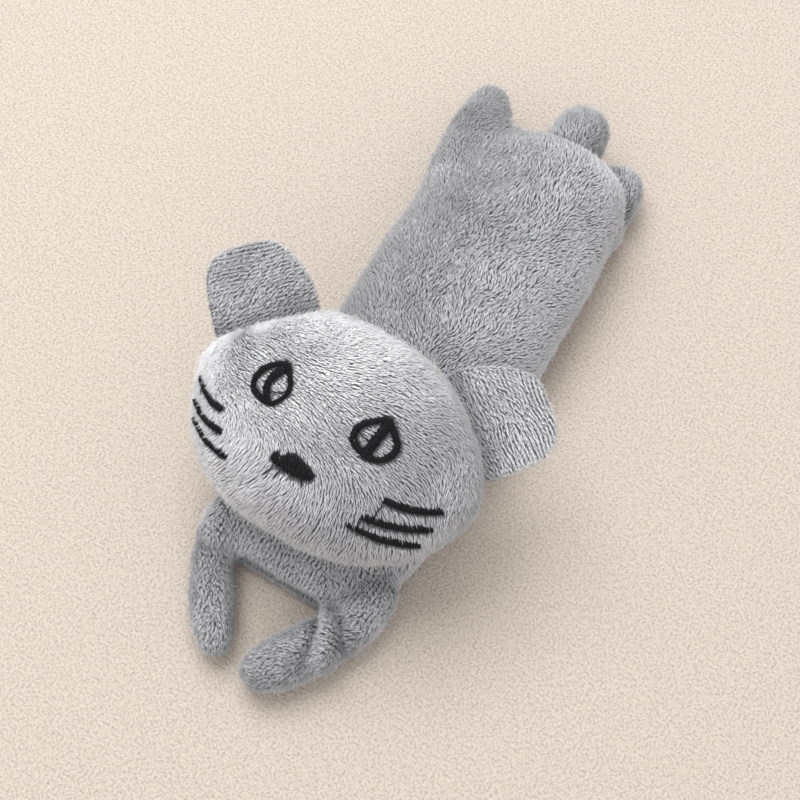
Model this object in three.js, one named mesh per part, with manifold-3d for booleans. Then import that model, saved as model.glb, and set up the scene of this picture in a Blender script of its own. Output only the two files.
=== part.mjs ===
// A stuffed plush animal that lies on its belly: a pillow body sewn from two panels, a head
// stitched on its sloping shoulders, two ears, two arms, two legs, a tail and a squeaker inside.
// Millimetres, +Z up. The toy faces -Y, so its own left side is +X.
import * as THREE from "three";
import { mergeVertices } from "three/addons/utils/BufferGeometryUtils.js";
import Module from "manifold-3d";

const wasm = await Module();
wasm.setup();

// Cloth and gaps
const FABRIC = 2.4; // plush with its pile pressed down
const CLEARANCE = 0.3; // between pieces that touch
const JOINT_GAP = 0.5; // round a limb that swings in its socket
const FLAT_CUT = 0.5; // depth of the flat on the belly

// Body
const BODY_LENGTH = 173;
const BODY_WIDTH = 71;
const CHEST_WIDTH = 68; // at the front end, before its corners round off
const CHEST_SEAM = 8; // seam height above the floor at the chest
const RUMP_SEAM = 16; // and at the rump
const CHEST_RISE = 7; // height of the back panel over the seam at the chest
const BACK_RISE = 22; // and over the back
const SLOPE_START = 4; // the shoulders rise between these distances from the chest's edge
const SLOPE_END = 83;
const BODY_CORNER = 0.42; // power that rounds the ends in plan: 1 is an ellipse, less is squarer
const BODY_SIDE = 0.85; // and the same for the cross-section

// Neck and head
const NECK_FROM_CHEST = 47;
const HEAD_DROOP = 4; // degrees that the chin drops beyond the slope of the shoulders
const NECK_GAP = 1; // between the back of the head and the shoulders
const NECK_RADIUS = 11; // outside of the stitched ring
const NECK_BAND = 3; // width of the stitched ring
const HEAD_SHIFT = -6.7; // the head lies a little to the toy's right
const HEAD_FORWARD = 2.5; // its middle lies ahead of the neck
const HEAD_WIDTH = 97;
const HEAD_HEIGHT = 70; // chin to crown
const FACE_RISE = 22;
const NAPE_RISE = 16;
const CROWN_WIDTH = 82; // head width towards the crown
const CHIN_WIDTH = 87; // and towards the chin, before the corners round off
const HEAD_CORNER = 0.8;
const HEAD_SIDE = 0.95;

// Ears
const EAR_WIDTH = 34;
const EAR_HEIGHT = 20.5;
const EAR_PLY = 1.5;
const EAR_TUCK = 8; // how far the outline runs in under the head's edge before it is cut there
const EAR_FROM_CROWN = 53.5; // degrees round the head's outline
const EAR_TURN = 40; // degrees that it points away from the crown
const EAR_GAP = 0.7; // at the fold along the base
const EAR_SOFT_EDGE = 0.6; // rounding of the turned edge

// Arms
const ARM_REACH = 45; // shoulder to paw tip
const PAW_WIDTH = 16.5;
const SHOULDER_WIDTH = 16.5;
const ARM_THICKNESS = 16;
const SHOULDER_FROM_EDGE = 8; // behind the chest's edge
const SHOULDER_FROM_SIDE = 8; // in from the chest's side
const PAW_GAP = 5.5; // between the paws, which sets how far the arms turn in
const ARM_SWING_IN = 2; // degrees that they can turn in further

// Legs
const LEG_REACH = { right: 21.5, left: 18 }; // hip to foot
const FOOT_WIDTH = 18.5;
const HIP_WIDTH = 19;
const LEG_THICKNESS = 18;
const HIP_FROM_EDGE = 9; // ahead of the rump's edge
const HIP_FROM_SIDE = 10.5; // in from the body's side
const LEG_OFF_FLOOR = { right: 4, left: 1 };
const LEG_OUTWARD = { right: 10, left: 0 }; // degrees from straight back
const LEG_SWING_IN = 6; // degrees
const LEG_SWING_OUT = 15;

// Tail
const TAIL_REACH = 20;
const TAIL_WIDTH = 19;
const TAIL_BASE_WIDTH = 16;
const TAIL_THICKNESS = 16;
const TAIL_FROM_EDGE = 6;
const TAIL_SHIFT = 4; // to the toy's left
const TAIL_OVER_SEAM = 5;
const TAIL_WAG = 18; // degrees to each side
const LIMB_END = 0.58; // power that rounds the ends of arms, legs and tail

// Squeaker
const SQUEAKER_FROM_CHEST = 104; // its middle, behind the chest's edge
const SQUEAKER_RADIUS = 17;
const SQUEAKER_WALL = 1.2;
const SQUEAKER_CUP = 9; // height of the lower half
const SQUEAKER_DOME = 9; // height of the pressed half above the cup
const SQUEAKER_LAP = 3; // how far the dome's skirt reaches into the cup
const REED_TUBE_RADIUS = 3.2;
const REED_TUBE_LENGTH = 6;
const REED_WALL = 0.8;
const REED_THICKNESS = 0.5;

// Embroidery, in the plane of the face: x to the toy's left, y towards the crown
const THREAD_RISE = 0.8; // how far satin stitches stand over the pile
const EYE_SPACING = 34;
const EYE_HEIGHT = 4; // over the middle of the face
const EYE_WIDTH = 12.5;
const EYE_LENGTH = 13.5;
const EYE_LINE = 2;
const PUPIL_WIDTH = 2.6;
const PUPIL_TOP_GAP = 1; // between the pupil and the inside of the outline
const PUPIL_FOOT_GAP = 0.4;
const PUPIL_LEAN = 8; // degrees
const NOSE_HEIGHT = -14;
const NOSE_WIDTH = 12.5;
const NOSE_LENGTH = 6.5;
const WHISKER_START = [26.5, 23.5, 20]; // inner ends from the middle, from the top row down
const WHISKER_DROP = [-9.7, -15.8, -20.8]; // inner ends, over the middle of the face
const WHISKER_LENGTH = [15, 17, 18.5]; // in the plane of the face
const WHISKER_WIDTH = 2.3;
const WHISKER_RISE = 15; // degrees, outwards

// Facets of the forms
const BODY_GRID = [26, 14];
const HEAD_GRID = [26, 12];
const LIMB_GRID = [12, 8];
const ROUND_STEPS = 20;
const EYE_STEPS = 5; // in each quarter of an eye's outline
const END_STEPS = 5; // round the end of a stitched bar
const DOME_STEPS = 5;
const INWARD_SAMPLES = 60; // along an arm, to find the angle that it lies at
const INWARD_HALVINGS = 30;

const plush = new THREE.MeshStandardMaterial({ color: "#a4a7ac", roughness: 1, metalness: 0 });
const earPlush = new THREE.MeshStandardMaterial({ color: "#97999f", roughness: 1, metalness: 0 });
const thread = new THREE.MeshStandardMaterial({ color: "#1b1b1f", roughness: 0.6, metalness: 0 });
const seamThread = new THREE.MeshStandardMaterial({ color: "#8d9096", roughness: 0.8, metalness: 0 });
const fibre = new THREE.MeshStandardMaterial({ color: "#f2f1ed", roughness: 1, metalness: 0 });
const plastic = new THREE.MeshStandardMaterial({ color: "#e9e9e3", roughness: 0.45, metalness: 0 });

const SIDES = [["right", -1], ["left", 1]]; // the toy's own sides, along X
const radians = THREE.MathUtils.degToRad;
const signedPower = (value, power) => Math.sign(value) * Math.abs(value) ** power;

// Solids and meshes

function solidOf(geometry) {
  const bare = geometry.clone();
  bare.deleteAttribute("normal");
  bare.deleteAttribute("uv");
  const merged = mergeVertices(bare);
  return new wasm.Manifold(
    new wasm.Mesh({
      numProp: 3,
      vertProperties: merged.attributes.position.array,
      triVerts: new Uint32Array(merged.index.array),
    }),
  );
}

function piece(name, solid, material) {
  const { numProp, numVert, vertProperties, triVerts } = solid.getMesh();
  const places = new Float32Array(numVert * 3);
  for (let i = 0; i < numVert; i++) {
    places.set(vertProperties.subarray(i * numProp, i * numProp + 3), i * 3);
  }
  const geometry = new THREE.BufferGeometry();
  geometry.setAttribute("position", new THREE.BufferAttribute(places, 3));
  geometry.setIndex(new THREE.BufferAttribute(triVerts, 1));
  geometry.computeVertexNormals();
  const mesh = new THREE.Mesh(geometry, material);
  mesh.name = name;
  return mesh;
}

function lathe(points, x, y, z) {
  const profile = points.map(([radius, height]) => new THREE.Vector2(radius, height));
  profile.push(profile[0].clone());
  const turned = new THREE.LatheGeometry(profile, ROUND_STEPS).rotateX(Math.PI / 2).translate(x, y, z);
  return solidOf(turned);
}

const ringProfile = (inner, outer, foot, top) => [[inner, foot], [outer, foot], [outer, top], [inner, top]];
const placed = (solid, matrix) => solid.transform(matrix.elements);

// A stuffed form: a sphere's grid drawn out along Y, swelling to a width, a rise over its seam
// and a sink under it at each station, and pinched to the seam at both ends.
function stuffed(form, inset = 0) {
  const geometry = new THREE.SphereGeometry(1, ...form.grid);
  const place = geometry.attributes.position;
  for (let i = 0; i < place.count; i++) {
    const latitude = Math.asin(THREE.MathUtils.clamp(place.getY(i), -1, 1));
    const turn = Math.atan2(place.getZ(i), place.getX(i));
    const girth = Math.abs(Math.cos(latitude)) ** form.plan;
    const station = signedPower(Math.sin(latitude), form.plan);
    const swell = form.swell(station);
    const depth = Math.sin(turn) > 0 ? swell.rise : swell.sink;
    place.setXYZ(
      i,
      (swell.width / 2 - inset) * girth * signedPower(Math.cos(turn), form.section),
      station * (form.length / 2 - inset),
      swell.seam + (depth - inset) * girth * signedPower(Math.sin(turn), form.section),
    );
  }
  return solidOf(geometry.translate(0, form.middle, 0));
}

const girthAt = (form, station) => (1 - Math.abs(station) ** (2 / form.plan)) ** (form.plan / 2);

// A box that holds everything on one side of a plane through a point, square to Z of a frame.
function halfSpace(frame, above) {
  const reach = 2 * BODY_LENGTH;
  const box = new THREE.BoxGeometry(reach, reach, reach).translate(0, 0, above ? reach / 2 : -reach / 2);
  return solidOf(box.applyMatrix4(frame));
}

const frameAt = (x, y, z, pitch = 0, yaw = 0) =>
  new THREE.Matrix4()
    .makeTranslation(x, y, z)
    .multiply(new THREE.Matrix4().makeRotationZ(yaw))
    .multiply(new THREE.Matrix4().makeRotationX(pitch));

function groupAt(frame) {
  const group = new THREE.Group();
  frame.decompose(group.position, group.quaternion, group.scale);
  return group;
}

// Body form

const seamSlope = (RUMP_SEAM - CHEST_SEAM) / BODY_LENGTH;
const seamHeight = (y) => CHEST_SEAM + seamSlope * (y + BODY_LENGTH / 2);
const bodyForm = {
  length: BODY_LENGTH,
  middle: 0,
  plan: BODY_CORNER,
  section: BODY_SIDE,
  grid: BODY_GRID,
  swell(station) {
    const y = (station * BODY_LENGTH) / 2;
    const fromChest = y + BODY_LENGTH / 2;
    const slope = THREE.MathUtils.smoothstep(fromChest, SLOPE_START, SLOPE_END);
    return {
      width: THREE.MathUtils.lerp(CHEST_WIDTH, BODY_WIDTH, slope),
      rise: THREE.MathUtils.lerp(CHEST_RISE, BACK_RISE, slope),
      sink: seamHeight(y) + FLAT_CUT,
      seam: seamHeight(y),
    };
  },
};

function backHeight(y) {
  const station = (2 * y) / BODY_LENGTH;
  const { seam, rise } = bodyForm.swell(station);
  return seam + rise * girthAt(bodyForm, station);
}

// Limbs, each in its own frame with the origin on its axis and its length along Y

const FRONT = -1;
const REAR = 1;

function limbForm({ reach, endWidth, rootWidth, thickness, towards }) {
  const root = rootWidth / 2;
  return {
    length: reach + root,
    middle: (towards * (reach - root)) / 2,
    root,
    thickness,
    towards,
    plan: LIMB_END,
    section: 1,
    grid: LIMB_GRID,
    swell(station) {
      const share = (1 + towards * station) / 2;
      return {
        width: THREE.MathUtils.lerp(rootWidth, endWidth, share),
        rise: thickness / 2,
        sink: thickness / 2,
        seam: 0,
      };
    },
  };
}

const armForm = limbForm({
  reach: ARM_REACH,
  endWidth: PAW_WIDTH,
  rootWidth: SHOULDER_WIDTH,
  thickness: ARM_THICKNESS,
  towards: FRONT,
});
const legForm = (side) =>
  limbForm({
    reach: LEG_REACH[side],
    endWidth: FOOT_WIDTH,
    rootWidth: HIP_WIDTH,
    thickness: LEG_THICKNESS,
    towards: REAR,
  });
const tailForm = limbForm({
  reach: TAIL_REACH,
  endWidth: TAIL_WIDTH,
  rootWidth: TAIL_BASE_WIDTH,
  thickness: TAIL_THICKNESS,
  towards: REAR,
});

// How far the arms turn in: the angle that leaves the gap between the paws, found by halving.
const shoulderX = CHEST_WIDTH / 2 - SHOULDER_FROM_SIDE;
function armInward() {
  const innermost = (angle) => {
    let reach = 0;
    for (let i = 0; i <= INWARD_SAMPLES; i++) {
      const station = i / INWARD_SAMPLES - 1;
      const along = ARM_REACH - ((1 + station) * armForm.length) / 2;
      const half = (armForm.swell(station).width / 2) * girthAt(armForm, station);
      reach = Math.max(reach, along * Math.sin(angle) + half * Math.cos(angle));
    }
    return shoulderX - reach;
  };
  let [low, high] = [-Math.PI / 2, Math.PI / 2];
  for (let i = 0; i < INWARD_HALVINGS; i++) {
    const middle = (low + high) / 2;
    if (innermost(middle) > PAW_GAP / 2) low = middle;
    else high = middle;
  }
  return low;
}

const inward = armInward();
const hipX = BODY_WIDTH / 2 - HIP_FROM_SIDE;
const limbs = [];
for (const [side, sign] of SIDES) {
  limbs.push({
    name: `${side}_arm`,
    form: armForm,
    frame: frameAt(
      sign * shoulderX,
      -BODY_LENGTH / 2 + SHOULDER_FROM_EDGE,
      ARM_THICKNESS / 2,
      0,
      -sign * inward,
    ),
    turns: [0, -sign * ARM_SWING_IN],
  });
  limbs.push({
    name: `${side}_leg`,
    form: legForm(side),
    frame: frameAt(
      sign * hipX,
      BODY_LENGTH / 2 - HIP_FROM_EDGE,
      LEG_OFF_FLOOR[side] + LEG_THICKNESS / 2,
      0,
      -sign * radians(LEG_OUTWARD[side]),
    ),
    turns: [sign * LEG_SWING_IN, -sign * LEG_SWING_OUT],
  });
}
const tailY = BODY_LENGTH / 2 - TAIL_FROM_EDGE;
limbs.push({
  name: "tail",
  form: tailForm,
  frame: frameAt(TAIL_SHIFT, tailY, seamHeight(tailY) + TAIL_OVER_SEAM),
  turns: [-TAIL_WAG, 0, TAIL_WAG],
});

// The room that a limb needs in the body: a round socket for its root and, at the turns where it
// still runs inside the body, its own form with a gap round it
function limbRoom({ form, frame, turns }) {
  const radius = form.root + JOINT_GAP;
  const half = form.thickness / 2 + JOINT_GAP;
  const edge = form.root / 4;
  const profile = [
    [0, -half],
    [radius - edge, -half],
    [radius, edge - half],
    [radius, half - edge],
    [radius - edge, half],
    [0, half],
  ];
  const grown = stuffed(form, -JOINT_GAP);
  const turned = (turn) => placed(grown, new THREE.Matrix4().makeRotationZ(radians(turn)));
  const room = turns.reduce((all, turn) => all.add(turned(turn)), lathe(profile, 0, 0, 0));
  return placed(room, frame);
}

// A limb is a sleeve of plush round its own filling, with a hole at its root to fill it through.
function limbGroup({ name, form, frame }) {
  const hole = new THREE.CylinderGeometry(form.root / 2, form.root / 2, form.root, ROUND_STEPS)
    .translate(0, -form.towards * form.root, 0);
  const sleeve = stuffed(form).subtract(stuffed(form, FABRIC)).subtract(solidOf(hole));
  const filling = stuffed(form, FABRIC + CLEARANCE);
  const group = groupAt(frame);
  group.add(piece(`${name}_sleeve`, sleeve, plush));
  group.add(piece(`${name}_stuffing`, filling, fibre));
  return group;
}

// Squeaker: a cup and the dome that is pressed into it, with a reed in a tube through the cup

const squeakerY = -BODY_LENGTH / 2 + SQUEAKER_FROM_CHEST;
const squeakerFloor = (backHeight(squeakerY) - SQUEAKER_CUP - SQUEAKER_DOME) / 2;

function domeCurve(radius, height, foot) {
  const points = [];
  for (let i = 0; i <= DOME_STEPS; i++) {
    const angle = ((Math.PI / 2) * i) / DOME_STEPS;
    points.push([radius * Math.cos(angle), foot + height * Math.sin(angle)]);
  }
  return points;
}

function squeakerPieces() {
  const outer = SQUEAKER_RADIUS;
  const bore = outer - SQUEAKER_WALL;
  const hole = REED_TUBE_RADIUS + CLEARANCE;
  const skirt = bore - CLEARANCE;
  const skirtIn = skirt - SQUEAKER_WALL;
  const skirtFoot = SQUEAKER_CUP - SQUEAKER_LAP;
  const tubeIn = REED_TUBE_RADIUS - REED_WALL;
  const cup = [
    [hole, 0],
    [outer, 0],
    [outer, SQUEAKER_CUP],
    [bore, SQUEAKER_CUP],
    [bore, SQUEAKER_WALL],
    [hole, SQUEAKER_WALL],
  ];
  const dome = [
    [skirt, skirtFoot],
    ...domeCurve(skirt, SQUEAKER_DOME, SQUEAKER_CUP),
    ...domeCurve(skirtIn, SQUEAKER_DOME - SQUEAKER_WALL, SQUEAKER_CUP).reverse(),
    [skirtIn, skirtFoot],
  ];
  const tube = ringProfile(tubeIn, REED_TUBE_RADIUS, 0, REED_TUBE_LENGTH);
  const reed = new THREE.BoxGeometry(
    2 * (tubeIn - CLEARANCE) * Math.cos(Math.PI / ROUND_STEPS),
    REED_THICKNESS,
    REED_TUBE_LENGTH - 2 * REED_WALL,
  ).translate(0, squeakerY, squeakerFloor + REED_TUBE_LENGTH / 2);
  return [
    piece("squeaker_cup", lathe(cup, 0, squeakerY, squeakerFloor), plastic),
    piece("squeaker_dome", lathe(dome, 0, squeakerY, squeakerFloor), plastic),
    piece("squeaker_reed_tube", lathe(tube, 0, squeakerY, squeakerFloor), plastic),
    piece("squeaker_reed", solidOf(reed), plastic),
  ];
}

function squeakerPocket() {
  const room = SQUEAKER_RADIUS + CLEARANCE;
  const cupTop = SQUEAKER_CUP + CLEARANCE;
  const profile = [
    [0, -CLEARANCE],
    [room, -CLEARANCE],
    ...domeCurve(room, SQUEAKER_DOME + CLEARANCE, cupTop),
  ];
  return lathe(profile, 0, squeakerY, squeakerFloor);
}

// Body pieces: two plush panels that meet at the seam, two batts of filling and the squeaker

function bodyPieces() {
  const seamFrame = frameAt(0, 0, seamHeight(0), Math.atan(seamSlope));
  const raised = new THREE.Matrix4().makeTranslation(0, 0, CLEARANCE / 2);
  const lowered = new THREE.Matrix4().makeTranslation(0, 0, -CLEARANCE / 2);
  const overSeam = halfSpace(seamFrame.clone().multiply(raised), true);
  const underSeam = halfSpace(seamFrame.clone().multiply(lowered), false);
  const underFloor = halfSpace(new THREE.Matrix4(), false);
  const outside = stuffed(bodyForm).subtract(underFloor);
  const fillingSpace = stuffed(bodyForm, FABRIC);
  const filling = stuffed(bodyForm, FABRIC + CLEARANCE).subtract(squeakerPocket());
  const sockets = limbs.map(limbRoom).reduce((all, room) => all.add(room));
  const shell = outside.subtract(fillingSpace).subtract(sockets);
  const batts = filling.subtract(sockets);
  return [
    piece("back_panel", shell.intersect(overSeam), plush),
    piece("belly_panel", shell.intersect(underSeam), plush),
    piece("body_stuffing_upper", batts.intersect(overSeam), fibre),
    piece("body_stuffing_lower", batts.intersect(underSeam), fibre),
    ...squeakerPieces(),
  ];
}

// Head, in a frame at the neck: Z out of the shoulders and towards the face, Y towards the crown

const neckY = -BODY_LENGTH / 2 + NECK_FROM_CHEST;
const neckDrop = backHeight(neckY + NECK_RADIUS) - backHeight(neckY - NECK_RADIUS);
const neckTilt = Math.atan2(neckDrop, 2 * NECK_RADIUS);
const neckFrame = frameAt(HEAD_SHIFT, neckY, backHeight(neckY), neckTilt + radians(HEAD_DROOP));
const headSeam = NECK_GAP + NAPE_RISE;
const headForm = {
  length: HEAD_HEIGHT,
  middle: -HEAD_FORWARD,
  plan: HEAD_CORNER,
  section: HEAD_SIDE,
  grid: HEAD_GRID,
  swell(station) {
    const side = station > 0 ? CROWN_WIDTH : CHIN_WIDTH;
    return {
      width: THREE.MathUtils.lerp(HEAD_WIDTH, side, Math.abs(station)),
      rise: FACE_RISE,
      sink: NAPE_RISE,
      seam: headSeam,
    };
  },
};

// The ring of ladder stitches that holds the head down, drawn tight between nape and shoulders
function neckStitches() {
  const band = ringProfile(NECK_RADIUS - NECK_BAND, NECK_RADIUS, -NAPE_RISE, NAPE_RISE);
  const shoulders = placed(stuffed(bodyForm, -CLEARANCE), neckFrame.clone().invert());
  return lathe(band, 0, 0, 0).subtract(shoulders).subtract(stuffed(headForm, -CLEARANCE));
}

// A flat outline raised out of the face as satin stitches that follow its swell
function embroidered(shape) {
  const tall = headSeam + 2 * FACE_RISE;
  const prism = new THREE.ExtrudeGeometry(shape, { depth: tall, bevelEnabled: false, curveSegments: 6 });
  const stitches = stuffed(headForm, -CLEARANCE - THREAD_RISE).subtract(stuffed(headForm, -CLEARANCE));
  const faceSide = halfSpace(frameAt(0, 0, headSeam), true);
  return solidOf(prism).intersect(stitches).intersect(faceSide);
}

function turnedShape(points, x, y, angle) {
  const turn = new THREE.Matrix3().makeRotation(angle).premultiply(new THREE.Matrix3().makeTranslation(x, y));
  return points.map((point) => point.clone().applyMatrix3(turn));
}

function ovalPoints(width, height) {
  return new THREE.EllipseCurve(0, 0, width / 2, height / 2).getPoints(ROUND_STEPS).slice(0, -1);
}

// An eye's outline: round below, drawn to a point above
function eyePoints(width, length) {
  const half = width / 2;
  const top = length / 2;
  const outline = new THREE.Path();
  outline.moveTo(0, top);
  outline.bezierCurveTo(-0.6 * half, 0.85 * top, -half, 0.4 * top, -half, -0.1 * top);
  outline.bezierCurveTo(-half, -0.66 * top, -0.56 * half, -top, 0, -top);
  outline.bezierCurveTo(0.56 * half, -top, half, -0.66 * top, half, -0.1 * top);
  outline.bezierCurveTo(half, 0.4 * top, 0.6 * half, 0.85 * top, 0, top);
  return outline.getPoints(EYE_STEPS).slice(0, -1);
}

function barPoints(length, width) {
  const straight = length / 2 - width / 2;
  const bar = new THREE.Path();
  bar.absarc(straight, 0, width / 2, -Math.PI / 2, Math.PI / 2);
  bar.absarc(-straight, 0, width / 2, Math.PI / 2, (3 * Math.PI) / 2);
  bar.closePath();
  return bar.getPoints(END_STEPS).slice(0, -1);
}

function facePieces() {
  const made = [];
  for (const [side, sign] of SIDES) {
    const x = (sign * EYE_SPACING) / 2;
    const ring = new THREE.Shape(turnedShape(eyePoints(EYE_WIDTH, EYE_LENGTH), x, EYE_HEIGHT, 0));
    const inside = eyePoints(EYE_WIDTH - 2 * EYE_LINE, EYE_LENGTH - 2 * EYE_LINE);
    ring.holes.push(new THREE.Path(turnedShape(inside, x, EYE_HEIGHT, 0)));
    const slitLength = EYE_LENGTH - 2 * EYE_LINE - PUPIL_TOP_GAP - PUPIL_FOOT_GAP;
    const slitHeight = EYE_HEIGHT + (PUPIL_FOOT_GAP - PUPIL_TOP_GAP) / 2;
    const slit = barPoints(slitLength, PUPIL_WIDTH);
    const pupil = new THREE.Shape(turnedShape(slit, x, slitHeight, Math.PI / 2 - radians(PUPIL_LEAN)));
    made.push(piece(`${side}_eye_outline`, embroidered(ring), thread));
    made.push(piece(`${side}_eye_pupil`, embroidered(pupil), thread));
    WHISKER_START.forEach((start, row) => {
      const angle = radians(WHISKER_RISE);
      const length = WHISKER_LENGTH[row];
      const along = start + (length / 2) * Math.cos(angle);
      const up = WHISKER_DROP[row] + (length / 2) * Math.sin(angle);
      const bar = turnedShape(barPoints(length, WHISKER_WIDTH), sign * along, up, sign * angle);
      made.push(piece(`${side}_whisker_${row + 1}`, embroidered(new THREE.Shape(bar)), thread));
    });
  }
  const nose = new THREE.Shape(turnedShape(ovalPoints(NOSE_WIDTH, NOSE_LENGTH), 0, NOSE_HEIGHT, 0));
  made.push(piece("nose", embroidered(nose), thread));
  return made;
}

// Ears: two plies each, sewn round the edge and turned, standing out from the head's seam

function earOutline(softEdge) {
  const half = EAR_WIDTH / 2 - softEdge;
  const tall = EAR_HEIGHT - softEdge;
  const foot = -EAR_TUCK;
  const outline = new THREE.Shape();
  outline.moveTo(-half, foot);
  outline.lineTo(half, foot);
  outline.bezierCurveTo(1.12 * half, 0.72 * tall, 0.75 * half, tall, 0, tall);
  outline.bezierCurveTo(-0.75 * half, tall, -1.12 * half, 0.72 * tall, -half, foot);
  return outline;
}

function earGroup(side, sign) {
  const angle = radians(EAR_FROM_CROWN);
  const station = Math.cos(angle) ** headForm.plan;
  const baseY = headForm.middle + (station * HEAD_HEIGHT) / 2;
  const baseX = (headForm.swell(station).width / 2) * girthAt(headForm, station);
  const frame = frameAt(sign * baseX, baseY, headSeam, 0, -sign * radians(EAR_TURN));
  const head = placed(stuffed(headForm, -EAR_GAP), frame.clone().invert());
  const softEdge = Math.min(EAR_SOFT_EDGE, 0.45 * EAR_PLY);
  const plyDepth = EAR_PLY - 2 * softEdge;
  const ply = new THREE.ExtrudeGeometry(earOutline(softEdge), {
    depth: plyDepth,
    bevelThickness: softEdge,
    bevelSize: softEdge,
    bevelSegments: 2,
    curveSegments: 7,
  });
  const lift = softEdge + CLEARANCE / 2;
  const front = solidOf(ply.clone().translate(0, 0, lift)).subtract(head);
  const back = solidOf(ply.clone().translate(0, 0, -lift - plyDepth)).subtract(head);
  const group = groupAt(frame);
  group.add(piece(`${side}_ear_front`, front, earPlush));
  group.add(piece(`${side}_ear_back`, back, plush));
  return group;
}

function headGroup() {
  const group = groupAt(neckFrame);
  const faceSide = halfSpace(frameAt(0, 0, headSeam + CLEARANCE / 2), true);
  const napeSide = halfSpace(frameAt(0, 0, headSeam - CLEARANCE / 2), false);
  const shell = stuffed(headForm).subtract(stuffed(headForm, FABRIC));
  group.add(piece("face_panel", shell.intersect(faceSide), plush));
  group.add(piece("head_back_panel", shell.intersect(napeSide), plush));
  group.add(piece("head_stuffing", stuffed(headForm, FABRIC + CLEARANCE), fibre));
  group.add(piece("neck_stitches", neckStitches(), seamThread));
  group.add(...facePieces());
  group.add(...SIDES.map(([side, sign]) => earGroup(side, sign)));
  return group;
}

// The whole toy, moved so that its origin is under the middle of its box

const toy = new THREE.Group();
toy.add(...bodyPieces());
toy.add(...limbs.map(limbGroup));
toy.add(headGroup());
const box = new THREE.Box3().setFromObject(toy, true);
const middle = box.getCenter(new THREE.Vector3());
toy.position.set(-middle.x, -middle.y, -box.min.z);

export default toy;
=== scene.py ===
"""Dresses a packed plush toy: stuffed skins, combed pile, ribbed ears and satin-stitched features.

Metres, +Z up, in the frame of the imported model. The toy lies on its belly and faces -Y, so its own
left side is +X. A pair of numbers named STEP is where a soft step starts and where it ends.
"""
import math
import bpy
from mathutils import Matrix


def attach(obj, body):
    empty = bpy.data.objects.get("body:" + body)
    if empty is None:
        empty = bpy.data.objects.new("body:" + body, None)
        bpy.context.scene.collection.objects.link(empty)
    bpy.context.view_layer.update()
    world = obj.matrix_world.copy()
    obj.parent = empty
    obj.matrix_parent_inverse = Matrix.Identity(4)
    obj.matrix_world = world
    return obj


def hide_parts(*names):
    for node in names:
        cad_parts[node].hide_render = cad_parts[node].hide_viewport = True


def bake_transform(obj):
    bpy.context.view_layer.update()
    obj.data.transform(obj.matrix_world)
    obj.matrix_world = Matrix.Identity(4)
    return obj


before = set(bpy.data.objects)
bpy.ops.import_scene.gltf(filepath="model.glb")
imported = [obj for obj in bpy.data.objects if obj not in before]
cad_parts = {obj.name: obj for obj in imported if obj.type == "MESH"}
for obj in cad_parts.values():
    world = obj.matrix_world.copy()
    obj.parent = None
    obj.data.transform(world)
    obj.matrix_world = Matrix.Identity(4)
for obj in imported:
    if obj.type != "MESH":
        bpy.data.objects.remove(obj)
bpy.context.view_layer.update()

from types import SimpleNamespace

import bmesh
import bpy
import numpy as np
from mathutils import Matrix, Vector, kdtree
from mathutils.bvhtree import BVHTree

SEED = 7
LATTICE_SIZE = 32
rng = np.random.default_rng(SEED)
LATTICE = rng.uniform(-1, 1, (LATTICE_SIZE,) * 3)
MM = 0.001
SIDES = (("right", -1), ("left", 1))

# Camera, floor and light. A lamp has a place, a size and a power
CAMERA_TARGET = np.array((8.3, -13.6, 25.0)) * MM
CAMERA_AZIMUTH = 30.5
CAMERA_ELEVATION = 68.0
CAMERA_DISTANCE = 459 * MM
CAMERA_FIELD = 30.0
CAMERA_SENSOR = 36
CAMERA_CLIP = 10 * MM
FLOOR_HALF = 3.0
WORLD_COLOUR = (1.0, 0.99, 0.97, 1)
WORLD_STRENGTH = 0.8
LAMPS = {"key": ((-0.4, 0.33, 1.1), 0.9, 14.5), "fill": ((0.3, -0.9, 0.7), 1.0, 2.5)}

# Skin, which lies under the pile
SKIN_INSET = 1.4 * MM
SKIN_FLOOR = SKIN_INSET / 2
LIMB_INSET = 0.5 * MM
SKIN_VOXEL = 2.2 * MM
HEAD_VOXEL = 2.0 * MM
SKIN_SOFTEN = 5
SOFTEN_FACTOR = 0.5
FORM_RINGS = 56
FORM_SIDES = 44

# How square a form is: the powers of its plan at the rear and the front, and of its section above and
# below the seam. A power of 1 is round, and less is squarer
BODY_POWERS = (0.42, 0.32, 0.85, 0.6)
LIMB_POWERS = (0.58, 0.58, 1.0, 1.0)
HEAD_POWERS = (0.8, 0.8, 0.95, 0.95)
EAR_POWERS = (0.56, 0.56, 0.6, 0.6)

# Body
BODY_LENGTH = 173 * MM
BODY_WIDTH = 71 * MM
CHEST_WIDTH = 68 * MM
CHEST_SEAM = 8 * MM
RUMP_SEAM = 16 * MM
CHEST_RISE = 7 * MM
BACK_RISE = 22 * MM
SLOPE_STEP = (4 * MM, 83 * MM)
BODY_MIDDLE = np.array((6.7, 9.84, 0.0)) * MM
CHEST_SHIFT = -2.2 * MM
CHEST_SHIFT_STEP = (-45 * MM, -85 * MM)
CHEST_REACH = 2.4 * MM
CHEST_REACH_STEP = (-40 * MM, -74 * MM)
RUMP_DROP = 0.5
RUMP_LENGTH_STEP = (52 * MM, 96 * MM)
RUMP_WIDTH_STEP = (12 * MM, -24 * MM)
RUMP_FILLET = np.array((-11.0, 91.0, 25.0)) * MM
RUMP_FILLET_REACH = 20 * MM
RUMP_FILLET_CORE = RUMP_FILLET_REACH / 3
RUMP_FILLET_SOFTEN = 30

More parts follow.
